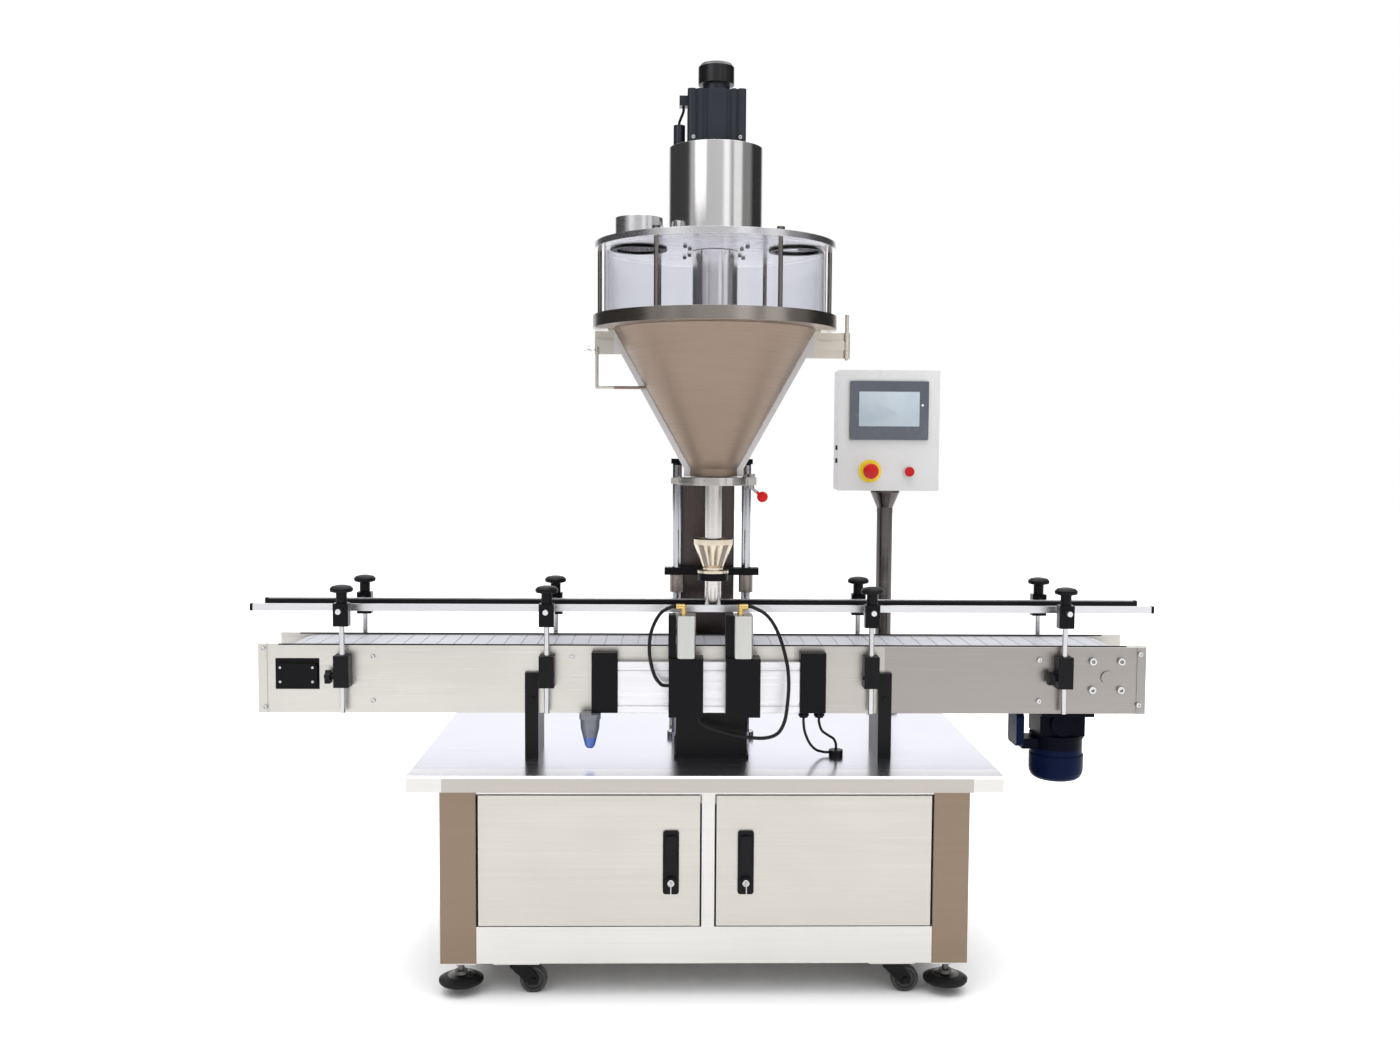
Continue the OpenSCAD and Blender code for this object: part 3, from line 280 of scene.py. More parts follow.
@dataclass(frozen=True)
class Metal:
    """Brushed, polished or plated metal with fine scratches and soft smudges."""

    name: str
    colour: Colour
    shade: Colour
    rough: float = 0.3
    grain: Grain = Grain.ALONG_X
    scratch: float = 0.00004
    anisotropy: float = 0.0
    zones: tuple[Zone, ...] = ()

    def material(self) -> bpy.types.Material:
        """Returns the finish as a Blender material."""
        shader = Shader(self.name)
        lines = shader.noise(self.grain.value, 4.0)
        cloud = shader.noise((3.0, 3.0, 3.0), 2.0)
        colour = shader.mix(shader.spread(cloud, 0.0, 1.0), self.colour, self.shade)
        streak = tuple(0.86 * c for c in self.colour)
        colour = shader.mix(shader.spread(lines, 0.0, 0.35), colour, streak)
        metallic = None
        for zone in self.zones:
            mask = shader.within(zone.low, zone.high)
            colour = shader.mix(mask, colour, zone.colour)
            if zone.metallic < 1.0:
                left = shader.add("ShaderNodeMapRange")
                left.inputs["To Min"].default_value = 1.0
                left.inputs["To Max"].default_value = zone.metallic
                shader.join(mask, left.inputs["Value"])
                if metallic is None:
                    metallic = left.outputs["Result"]
                else:
                    least = shader.add("ShaderNodeMath", operation="MULTIPLY")
                    shader.join(metallic, least.inputs[0])
                    shader.join(left.outputs["Result"], least.inputs[1])
                    metallic = least.outputs[0]
        shader.join(colour, shader.surface.inputs["Base Color"])
        shader.join(
            shader.spread(lines, self.rough * 0.8, self.rough * 1.25), shader.surface.inputs["Roughness"]
        )
        shader.surface.inputs["Metallic"].default_value = 1.0
        shader.surface.inputs["Specular IOR Level"].default_value = 0.1
        if metallic is not None:
            shader.join(metallic, shader.surface.inputs["Metallic"])
        if self.anisotropy:
            shader.surface.inputs["Anisotropic"].default_value = self.anisotropy
            tangent = shader.add("ShaderNodeTangent", direction_type="RADIAL", axis="Z")
            shader.join(tangent.outputs[0], shader.surface.inputs["Tangent"])
        shader.bump(lines, self.scratch)
        return shader.material


@dataclass(frozen=True)
class Coat:
    """Paint, powder coat or moulded plastic: a coloured skin with a fine grain."""

    name: str
    colour: Colour
    worn: Colour
    rough: float = 0.4
    grain: float = 350.0
    depth: float = 0.00008
    coat: float = 0.0
    specular: float = 0.5
    zones: tuple[Zone, ...] = ()

    def material(self) -> bpy.types.Material:
        """Returns the finish as a Blender material."""
        shader = Shader(self.name)
        fine = shader.noise((self.grain,) * 3, 2.0)
        cloud = shader.noise((5.0, 5.0, 5.0), 4.0)
        colour = shader.mix(shader.spread(cloud, 0.0, 1.0), self.colour, self.worn)
        for zone in self.zones:
            colour = shader.mix(shader.within(zone.low, zone.high), colour, zone.colour)
        shader.join(colour, shader.surface.inputs["Base Color"])
        shader.join(
            shader.spread(cloud, self.rough * 0.85, self.rough * 1.15), shader.surface.inputs["Roughness"]
        )
        shader.surface.inputs["Specular IOR Level"].default_value = self.specular
        shader.surface.inputs["Coat Weight"].default_value = self.coat
        shader.surface.inputs["Coat Roughness"].default_value = 0.08
        shader.bump(fine, self.depth, 0.5)
        return shader.material


@dataclass(frozen=True)
class Clear:
    """Clear acrylic or glass with faint smudges."""

    name: str
    colour: Colour
    rough: float = 0.02
    index: float = 1.3

    def material(self) -> bpy.types.Material:
        """Returns the finish as a Blender material."""
        shader = Shader(self.name)
        cloud = shader.noise((6.0, 6.0, 2.0), 3.0)
        patches = shader.spread(cloud, self.rough * 0.5, self.rough * 3.0)
        shader.join(patches, shader.surface.inputs["Roughness"])
        shade = tuple(0.97 * c for c in self.colour)
        colour = shader.mix(shader.spread(cloud, 0.0, 1.0), self.colour, shade)
        shader.join(colour, shader.surface.inputs["Base Color"])
        shader.surface.inputs["Transmission Weight"].default_value = 1.0
        shader.surface.inputs["IOR"].default_value = self.index
        return shader.material


@dataclass(frozen=True)
class Display:
    """A switched-off screen, whose pale blue-grey colour with soft clouds is a painted reflection of the
    room.
    """

    name: str
    light: Colour
    dark: Colour

    def material(self) -> bpy.types.Material:
        """Returns the finish as a Blender material."""
        shader = Shader(self.name)
        cloud = shader.noise((14.0, 14.0, 9.0), 3.0)
        colour = shader.mix(shader.spread(cloud, 0.0, 1.0), self.light, self.dark)
        shader.join(colour, shader.surface.inputs["Base Color"])
        shader.join(shader.spread(cloud, 0.12, 0.22), shader.surface.inputs["Roughness"])
        shader.surface.inputs["Coat Weight"].default_value = 0.6
        shader.surface.inputs["Coat Roughness"].default_value = 0.05
        return shader.material


POLISHED = Metal(
    "polished_stainless", (0.80, 0.79, 0.77), (0.74, 0.73, 0.72), 0.13, Grain.AROUND, 0.00001, 0.55,
)
# The cone's brown is a painted reflection of the room in its steel. The lighter strip along the split flange
# is a painted highlight, and the lighter outer sides are painted reflection.
CONE = Metal(
    "cone_painted_reflection", (0.253, 0.193, 0.151), (0.234, 0.179, 0.140), 0.42, Grain.AROUND, 0.00001,
    zones=(
        Zone((-FAR, FILL_Y - FLANGE_HALF, -FAR), (FAR, FILL_Y + FLANGE_HALF, FAR), (0.56, 0.54, 0.54), 1.0),
        Zone.right_of(FILL_X + CONE_REACH, (0.62, 0.57, 0.50), 1.0),
        Zone.left_of(FILL_X - CONE_REACH, (0.50, 0.47, 0.43), 1.0),
    ),
)
RING = Metal("turned_ring", (0.41, 0.37, 0.335), (0.35, 0.32, 0.29), 0.2, Grain.AROUND, 0.00002, 0.5)
CLAMP = Metal("polished_clamp", (0.66, 0.64, 0.62), (0.58, 0.56, 0.54), 0.16, Grain.AROUND, 0.00001, 0.5)
LID = Metal("brushed_lid", (0.72, 0.71, 0.72), (0.68, 0.67, 0.69), 0.25, Grain.ALONG_X, 0.000002)
TUBE = Metal("turned_tube", (0.66, 0.64, 0.62), (0.58, 0.56, 0.54), 0.2, Grain.AROUND, 0.00002, 0.4)
FUNNEL = Metal("polished_funnel", (0.62, 0.55, 0.44), (0.55, 0.49, 0.40), 0.16, Grain.AROUND, 0.00001, 0.4)
SLEEVE = Metal("polished_sleeve", (0.97, 0.96, 0.94), (0.90, 0.89, 0.88), 0.2, Grain.ALONG_Z, 0.00001)
ROD = Metal("ground_rod", (0.24, 0.215, 0.20), (0.19, 0.17, 0.16), 0.22, Grain.ALONG_Z, 0.00002)
CHROME = Metal(
    "chrome_column", (0.46, 0.47, 0.50), (0.40, 0.41, 0.44), 0.09, Grain.ALONG_Z, 0.000005,
    zones=(Zone.above(COLUMN_CAP, BLACK),),
)
COLUMN = Metal("shaded_column", (0.080, 0.067, 0.064), (0.066, 0.056, 0.053), 0.3, Grain.ALONG_Z)
POST = Metal(
    "control_post_steel", (0.11, 0.10, 0.097), (0.085, 0.078, 0.075), 0.2, Grain.AROUND, 0.00002, 0.3,
)
SHEET_X = Metal("brushed_sheet", (0.74, 0.72, 0.70), (0.66, 0.64, 0.63), 0.34, Grain.ALONG_X)
SIDE = Metal(
    "brushed_side_plate", (0.58, 0.565, 0.525), (0.52, 0.505, 0.47), 0.33, Grain.ALONG_X,
    zones=(
        # The two zones right of x 0.20, below the plate's top edge, paint the front of the one brushed plate
        # darker in two steps: painted reflection.
        Zone((0.20, -FAR, -FAR), (RIGHT_LEG, -0.1, PLATE_EDGE), (0.43, 0.41, 0.38), 1.0),
        Zone((RIGHT_LEG, -FAR, -FAR), (FAR, -0.1, PLATE_EDGE), (0.305, 0.285, 0.268), 1.0),
        Zone((-0.962, -FAR, 0.66), (-0.864, FAR, 0.73), BLACK),
        Zone((-0.955, -FAR, PLATE_EDGE + 0.001), (0.955, FAR, FAR), BLACK),
    ),
)
CABINET = Metal(
    "brushed_cabinet", (0.64, 0.63, 0.61), (0.60, 0.59, 0.57), 0.36, Grain.ALONG_X,
    zones=(
        # Painted reflection: beyond LEG_EDGE the legs' outer sides and the side panels carry a brown
        # reflection of the room, over the same steel as the doors.
        Zone.left_of(-LEG_EDGE, (0.224, 0.169, 0.124), 1.0, 0.078),
        Zone.right_of(LEG_EDGE, (0.224, 0.169, 0.124), 1.0, 0.078),
    ),
)
DOOR = Metal("brushed_door", (0.545, 0.525, 0.485), (0.51, 0.49, 0.452), 0.38, Grain.ALONG_X)
# The table's pale lavender tint is a painted sheen. Its zones paint a white highlight along the top's front,
# and painted shade on the front apron below it, darker still in its middle part.
TABLE = Metal(
    "brushed_table", (0.88, 0.88, 0.95), (0.83, 0.83, 0.91), 0.22, Grain.ALONG_X,
    zones=(
        Zone((-FAR, TABLE_FRONT, TABLE_Z - 0.001), (FAR, -0.315, FAR), (0.97, 0.97, 0.98), 1.0),
        Zone((-FAR, -FAR, -FAR), (FAR, TABLE_FRONT, TABLE_Z - 0.006), (0.56, 0.55, 0.53), 1.0),
        Zone((-0.565, -FAR, -FAR), (0.575, TABLE_FRONT, TABLE_Z - 0.006), (0.385, 0.364, 0.334), 1.0),
    ),
)
ZINC = Metal("zinc_plate", (0.55, 0.55, 0.56), (0.45, 0.45, 0.46), 0.35, Grain.EVEN, 0.00003)
FOOT = Metal(
    "levelling_foot", (0.16, 0.155, 0.15), (0.11, 0.105, 0.10), 0.32, Grain.AROUND,
    zones=(Zone.below(FOOT_PAD, (0.012, 0.012, 0.013)),),
)
RAIL = Metal(
    "rail_profile", (0.66, 0.66, 0.68), (0.58, 0.58, 0.60), 0.3, Grain.ALONG_X,
    zones=(
        Zone.right_of(RAIL_END, BLACK),
        Zone.left_of(-RAIL_END, BLACK),
        Zone((-FAR, -0.1770, -FAR), (FAR, -0.0670, FAR), BLACK),
    ),
)
BEAM = Metal(
    "anodised_beam", (0.74, 0.74, 0.76), (0.66, 0.66, 0.68), 0.32, Grain.ALONG_X,
    zones=(
        Zone.left_of(BEAM_LEFT, BLACK),
        Zone.right_of(BEAM_RIGHT, BLACK),
        Zone((-FAR, -FAR, -FAR), (FAR, -0.2352, FAR), BLACK),
    ),
)
CYLINDER = Metal(
    "anodised_cylinder", (0.53, 0.53, 0.51), (0.47, 0.47, 0.45), 0.34, Grain.ALONG_Z,
    zones=(Zone.above(CYLINDER_TOP, (0.62, 0.44, 0.16), 1.0),),
)
POSTS = Metal(
    "rail_posts", (0.55, 0.55, 0.56), (0.46, 0.46, 0.47), 0.2, Grain.ALONG_Z,
    zones=(Zone.above(POST_BLACK, BLACK),),
)
CROSSBAR = Metal(
    "crossbar_steel", (0.30, 0.26, 0.235), (0.24, 0.21, 0.19), 0.3, Grain.AROUND,
    zones=(Zone.above(CROSSBAR_BLACK, BLACK),),
)
SCREW = Metal("screw_steel", (0.62, 0.62, 0.62), (0.50, 0.50, 0.50), 0.25, Grain.EVEN, 0.00001)
LEVER = Metal(
    "lever_steel", (0.40, 0.39, 0.38), (0.33, 0.32, 0.31), 0.22, Grain.AROUND,
    zones=(Zone((0.118, -FAR, -FAR), (FAR, FAR, 1.1058), (0.55, 0.012, 0.012)),),
)
BLACK_PLASTIC = Coat("black_plastic", (0.004, 0.004, 0.005), (0.008, 0.008, 0.009), 0.36, specular=0.12)
BLACK_PAINT = Coat("black_paint", (0.004, 0.004, 0.005), (0.008, 0.008, 0.008), 0.32, 200.0, specular=0.12)
NAVY = Coat(
    "navy_paint", (0.0014, 0.005, 0.026), (0.002, 0.007, 0.034), 0.36, 160.0, 0.0001, 0.0, 0.05,
    zones=(Zone((0.74, -FAR, MOTOR_BLACK), (FAR, FAR, FAR), (0.001, 0.0014, 0.006)),),
)
SLATE = Coat(
    "servo_paint", (0.012, 0.015, 0.024), (0.017, 0.020, 0.030), 0.3, 260.0, 0.00005, 0.1, 0.35,
    zones=(Zone.above(SERVO_CAP, (0.006, 0.006, 0.007)),),
)
BELT = Coat("belt_plastic", (0.47, 0.475, 0.51), (0.42, 0.425, 0.46), 0.42)
WHEEL = Coat("wheel_rubber", (0.020, 0.020, 0.021), (0.032, 0.031, 0.030), 0.5, 500.0)
BOWL = Coat(
    "filter_bowl", (0.15, 0.16, 0.19), (0.11, 0.12, 0.15), 0.15, 80.0, 0.00002, 0.4,
    zones=(Zone.below(BOWL_TIP, (0.05, 0.12, 0.42)),),
)
BOX = Coat(
    "box_paint", (0.69, 0.69, 0.68), (0.66, 0.66, 0.655), 0.3, 420.0, 0.00004, 0.2, 0.4,
    zones=(
        Zone((0.40, -FAR, 1.11), (0.478, 0.2799, 1.18), (0.86, 0.66, 0.02)),
        # Painted shade: the box's left side face, behind its front, is a darker lavender grey.
        Zone((-FAR, BOX_FRONT + 0.0005, -FAR), (BOX_LEFT + 0.0006, FAR, FAR), (0.60, 0.59, 0.64)),
    ),
)
BEZEL = Coat("screen_bezel", (0.075, 0.085, 0.105), (0.10, 0.11, 0.135), 0.25, 500.0, 0.00002, 0.4)
RED = Coat("red_button", (0.60, 0.004, 0.006), (0.50, 0.003, 0.005), 0.3, 90.0, 0.00001, 0.1, 0.25)
HOSE = Coat("hose_rubber", (0.004, 0.004, 0.005), (0.008, 0.008, 0.009), 0.35, 700.0, specular=0.2)
LENS = Coat("light_lens", (0.9, 0.92, 0.95), (0.85, 0.88, 0.92), 0.2)
PALE = Coat("pale_floor", (0.95, 0.95, 0.95), (0.94, 0.94, 0.94), 0.8, 30.0)
ACRYLIC = Clear("clear_acrylic", (0.845, 0.85, 0.885))
SCREEN = Display("screen_glass", (0.475, 0.54, 0.59), (0.39, 0.465, 0.525))


class Piece:
    """One piece's mesh while it is drawn."""

    def __init__(self, name: str) -> None:
        """Starts an empty mesh.

        Args:
            name: the piece's name.
        """
        self.name = name
        self.mesh = bmesh.new()

    def _place(self, faces_before: int, move: Matrix) -> None:
        """Moves what was drawn since a count of faces."""
        self.mesh.faces.ensure_lookup_table()
        points = {v for f in self.mesh.faces[faces_before:] for v in f.verts}
        bmesh.ops.transform(self.mesh, matrix=move, verts=list(points))

    def lathe(self, profile: Profile, at: Point, facing: Axis = Axis.UP, sides: int = 48) -> "Piece":
        """Turns a profile round its axis.

        Args:
            profile: radius and height of each corner, from one end to the other.
            at: where the profile's zero lies.
            facing: the direction of the profile's height.
            sides: faces round the axis.

        Returns:
            The piece itself.
        """
        start = len(self.mesh.faces)
        rings = []
        for radius, height in profile:
            if radius < 1e-7:
                rings.append([self.mesh.verts.new((0.0, 0.0, height))])
                continue
            rings.append([
                self.mesh.verts.new((
                    radius * math.cos(math.tau * k / sides), radius * math.sin(math.tau * k / sides), height,
                ))
                for k in range(sides)
            ])
        for low, high in zip(rings, rings[1:]):
            for k in range(sides):
                n = (k + 1) % sides
                corners = [low[k % len(low)], low[n % len(low)], high[n % len(high)], high[k % len(high)]]
                corners = list(dict.fromkeys(corners))
                if len(corners) > 2:
                    self.mesh.faces.new(corners)
        self._place(start, Matrix.Translation(at) @ facing.turn())
        return self

    def slab(self, low: Point, high: Point, edge: float = 0.001, steps: int = 2) -> "Piece":
        """Draws a block with eased edges.

        Args:
            low: its lowest corner.
            high: its highest corner.
            edge: the width of the eased edge.
            steps: faces across the eased edge.

        Returns:
            The piece itself.
        """
        size = Vector(high) - Vector(low)
        middle = (Vector(high) + Vector(low)) / 2
        made = bmesh.ops.create_cube(self.mesh, size=1.0)
        bmesh.ops.transform(
            self.mesh, matrix=Matrix.Translation(middle) @ Matrix.Diagonal((*size, 1.0)), verts=made["verts"]
        )
        edges = list({e for v in made["verts"] for e in v.link_edges})
        bmesh.ops.bevel(self.mesh, geom=edges, offset=edge, segments=steps, affect="EDGES", profile=0.6)
        return self

    def plate(
        self, size: tuple[float, float], radius: float, thickness: float, at: Point,
        facing: Axis = Axis.FRONT, edge: float = 0.0008,
    ) -> "Piece":
        """Draws a flat plate with round corners and an eased rim.

        Args:
            size: its width and height.
            radius: of its corners.
            thickness: of the plate, towards where it faces.
            at: the middle of its back face.
            facing: the direction of its front face.
            edge: the width of the eased rim.

        Returns:
            The piece itself.
        """
        start = len(self.mesh.faces)
        outlines = []
        rims = ((0.0, 0.0), (0.0, thickness - edge), (edge * 0.3, thickness - edge * 0.3), (edge, thickness))
        for inset, height in rims:
            outline = []
            for turn, (sx, sy) in enumerate(((1, 1), (-1, 1), (-1, -1), (1, -1))):
                cx = sx * (size[0] / 2 - radius)
                cy = sy * (size[1] / 2 - radius)
                for k in range(7):
                    angle = math.pi / 2 * (turn + k / 6)
                    reach = max(radius - inset, 0.0001)
                    outline.append(self.mesh.verts.new((
                        cx + reach * math.cos(angle), cy + reach * math.sin(angle), height,
                    )))
            outlines.append(outline)
        count = len(outlines[0])
        for low, high in zip(outlines, outlines[1:]):
            for k in range(count):
                n = (k + 1) % count
                self.mesh.faces.new((low[k], low[n], high[n], high[k]))
        self.mesh.faces.new(list(reversed(outlines[0])))
        self.mesh.faces.new(outlines[-1])
        self._place(start, Matrix.Translation(at) @ facing.turn())
        return self

    def socket_screw(self, at: Point, radius: float, facing: Axis = Axis.FRONT) -> "Piece":
        """Draws a cap screw's head with its six-sided socket, seated at a point."""
        r = radius
        self.lathe([(r, 0.0), (r, r * 0.8), (r * 0.92, r * 0.95), (r * 0.52, r * 0.95)], at, facing, 24)
        self.lathe([(r * 0.52, r * 0.95), (r * 0.5, r * 0.3), (0.0, r * 0.25)], at, facing, 6)
        self.lathe([(r * 0.52, r * 0.95), (r * 0.50, r * 0.93)], at, facing, 24)
        return self

    def hex_head(self, at: Point, radius: float, height: float, facing: Axis = Axis.UP) -> "Piece":
        """Draws a six-sided bolt head with a round chamfer on its washer, seated at a point."""
        r = radius
        self.lathe([(r * 1.15, 0.0), (r * 1.15, height * 0.2), (r, height * 0.22)], at, facing, 32)
        self.lathe([(r, height * 0.2), (r, height * 0.9), (r * 0.86, height), (0.0, height)], at, facing, 6)
        return self

    def done(self, finish: object, body: str) -> bpy.types.Object:
        """Finishes the piece.

        Args:
            finish: the finish that it is dressed in.
            body: the moving body that carries it.

        Returns:
            The new object.
        """
        bmesh.ops.remove_doubles(self.mesh, verts=self.mesh.verts, dist=1e-6)
        bmesh.ops.recalc_face_normals(self.mesh, faces=self.mesh.faces)
        data = bpy.data.meshes.new(self.name)
        self.mesh.to_mesh(data)
        self.mesh.free()
        made = bpy.data.objects.new(self.name, data)
        bpy.context.scene.collection.objects.link(made)
        data.materials.append(Wardrobe.get(finish))
        data.shade_smooth()
        data.set_sharp_from_angle(angle=math.radians(32))
        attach(made, body)
        LOG.info("piece %s on %s", self.name, body)
        return made


class Wardrobe:
    """Keeps one material for each finish."""

    made: dict[str, bpy.types.Material] = {}

    @classmethod
    def get(cls, finish: object) -> bpy.types.Material:
        """Returns a finish's material, made at its first use."""
        if finish.name not in cls.made:
            cls.made[finish.name] = finish.material()
        return cls.made[finish.name]

    @classmethod
    def dress(cls, nodes: dict[str, bpy.types.Object], finish: object, *names: str) -> None:
        """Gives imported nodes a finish.

        Args:
            nodes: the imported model's objects by name.
            finish: the finish to give.
            names: the nodes that take it.
        """
        for name in names:
            data = nodes[name].data
            data.materials.clear()
            data.materials.append(cls.get(finish))
            for face in data.polygons:
                face.material_index = 0
            data.shade_smooth()
            data.set_sharp_from_angle(angle=math.radians(28))
            LOG.info("node %s in %s", name, finish.name)


@dataclass
class Studio:
    """The camera, the pale floor and the soft lights."""

    camera_at: Point = (-0.0744, -3.1137, 1.2152)
    tilt: float = 86.4
    turn: float = -1.2
    roll: float = 0.35
    lens: float = 33.43
    floor_size: float = 40.0
    heights: tuple[tuple[float, Colour], ...] = (
        (0.44, (0.40, 0.36, 0.33)), (0.49, (0.72, 0.70, 0.69)),
        (0.55, (1.0, 1.0, 1.0)), (0.75, (1.2, 1.2, 1.22)),
    )
    bands: tuple[tuple[float, float], ...] = (
        (0.055, 0.05), (0.08, 0.6), (0.105, 0.26), (0.13, 0.66), (0.17, 0.38), (0.2, 0.62), (0.295, 0.64),
        (0.305, 1.2), (0.335, 1.2), (0.35, 0.45), (0.39, 0.2), (0.5, 0.27), (0.53, 0.03), (0.655, 0.04),
        (0.69, 0.95), (0.81, 0.95), (0.845, 0.05),
    )

    def camera(self) -> None:
        """Sets the camera at the photograph's place."""
        data = bpy.data.cameras.new("camera")
        data.lens = self.lens
        data.sensor_width = 36.0
        data.clip_end = 200.0
        made = bpy.data.objects.new("camera", data)
        turn = Matrix.Rotation(math.radians(self.turn), 4, "Z")
        tilt = Matrix.Rotation(math.radians(self.tilt), 4, "X")
        roll = Matrix.Rotation(math.radians(self.roll), 4, "Z")
        made.matrix_world = Matrix.Translation(self.camera_at) @ turn @ tilt @ roll
        bpy.context.scene.collection.objects.link(made)
        bpy.context.scene.camera = made

    def lamp(self, name: str, at: Point, aim: Point, size: tuple[float, float], power: float) -> None:
        """Hangs one soft box.

        Args:
            name: the lamp's name.
            at: where it hangs.
            aim: the point that it faces.
            size: its width and height.
            power: its strength in watts.
        """
        data = bpy.data.lights.new(name, "AREA")
        data.shape = "RECTANGLE"
        data.size, data.size_y = size
        data.energy = power
        made = bpy.data.objects.new(name, data)
        made.location = at
        made.rotation_mode = "QUATERNION"
        made.rotation_quaternion = (Vector(aim) - Vector(at)).to_track_quat("-Z", "Y")
        bpy.context.scene.collection.objects.link(made)

    def sun(self, strength: float) -> None:
        """Lights the floor evenly from straight above, with soft shadows."""
        data = bpy.data.lights.new("floor_light", "SUN")
        data.energy = strength
        data.angle = 1.2
        made = bpy.data.objects.new("floor_light", data)
        made.location = (0.0, 0.0, 6.0)
        bpy.context.scene.collection.objects.link(made)

    def world(self) -> None:
        """Fills the room with soft light: bright above, warm near the ground, with tall bands all round."""
        world = bpy.data.worlds.new("studio")
        bpy.context.scene.world = world
        world.use_nodes = True
        nodes = world.node_tree.nodes
        links = world.node_tree.links
        where = nodes.new("ShaderNodeTexCoord")
        parts = nodes.new("ShaderNodeSeparateXYZ")
        links.new(where.outputs["Generated"], parts.inputs[0])
        rise = nodes.new("ShaderNodeMapRange")
        rise.inputs["From Min"].default_value = -1.0
        rise.inputs["From Max"].default_value = 1.0
        links.new(parts.outputs["Z"], rise.inputs["Value"])
        height = nodes.new("ShaderNodeValToRGB")
        ramp = height.color_ramp
        ramp.elements[0].color = (0.22, 0.19, 0.17, 1.0)
        ramp.elements[1].color = (1.9, 1.9, 1.9, 1.0)
        for place, colour in self.heights:
            ramp.elements.new(place).color = (*colour, 1.0)
        links.new(rise.outputs["Result"], height.inputs["Fac"])
        bands = nodes.new("ShaderNodeTexGradient")
        bands.gradient_type = "RADIAL"
        links.new(where.outputs["Generated"], bands.inputs["Vector"])
        strips = nodes.new("ShaderNodeValToRGB")
        strip = strips.color_ramp
        strip.elements[0].color = (0.05, 0.05, 0.05, 1.0)
        strip.elements[1].color = (0.05, 0.05, 0.05, 1.0)
        for place, value in self.bands:
            strip.elements.new(place).color = (value, value, value * 1.02, 1.0)
        links.new(bands.outputs["Fac"], strips.inputs["Fac"])
        both = nodes.new("ShaderNodeMix")
        both.data_type = "RGBA"
        both.blend_type = "MULTIPLY"
        fade = nodes.new("ShaderNodeMapRange")
        fade.inputs["From Min"].default_value = 0.35
        fade.inputs["From Max"].default_value = 0.75
        fade.inputs["To Min"].default_value = 1.0
        fade.inputs["To Max"].default_value = 0.0
        links.new(parts.outputs["Z"], fade.inputs["Value"])
        links.new(fade.outputs["Result"], both.inputs[0])
        links.new(height.outputs["Color"], both.inputs[6])
        links.new(strips.outputs["Color"], both.inputs[7])
        seen = nodes.new("ShaderNodeLightPath")
        plain = nodes.new("ShaderNodeMix")
        plain.data_type = "RGBA"
        plain.inputs[7].default_value = (1.0, 1.0, 1.0, 1.0)
        links.new(seen.outputs["Is Camera Ray"], plain.inputs[0])
        links.new(both.outputs[2], plain.inputs[6])
        back = nodes["Background"]
        back.inputs["Strength"].default_value = 1.0
        links.new(plain.outputs[2], back.inputs["Color"])

    def floor(self) -> None:
        """Lays the pale floor."""
        mesh = bmesh.new()
        bmesh.ops.create_grid(mesh, x_segments=8, y_segments=8, size=self.floor_size / 2)
        data = bpy.data.meshes.new("floor")
        mesh.to_mesh(data)
        mesh.free()
        made = bpy.data.objects.new("floor", data)
        bpy.context.scene.collection.objects.link(made)
        data.materials.append(Wardrobe.get(PALE))

    def build(self) -> None:
        """Sets up the whole studio."""
        self.camera()
        self.world()
        self.floor()
        bpy.context.scene.view_settings.view_transform = "Standard"
        self.lamp("key_light", (-2.6, -3.4, 3.6), (0.0, 0.0, 0.9), (2.4, 2.4), 22.0)
        self.lamp("fill_light", (3.4, -2.6, 2.2), (0.0, 0.0, 0.8), (1.6, 2.6), 10.0)
        self.lamp("top_light", (0.2, 0.6, 4.6), (0.0, 0.0, 0.0), (3.0, 3.0), 50.0)
        self.sun(1.0)
        LOG.info("studio ready")


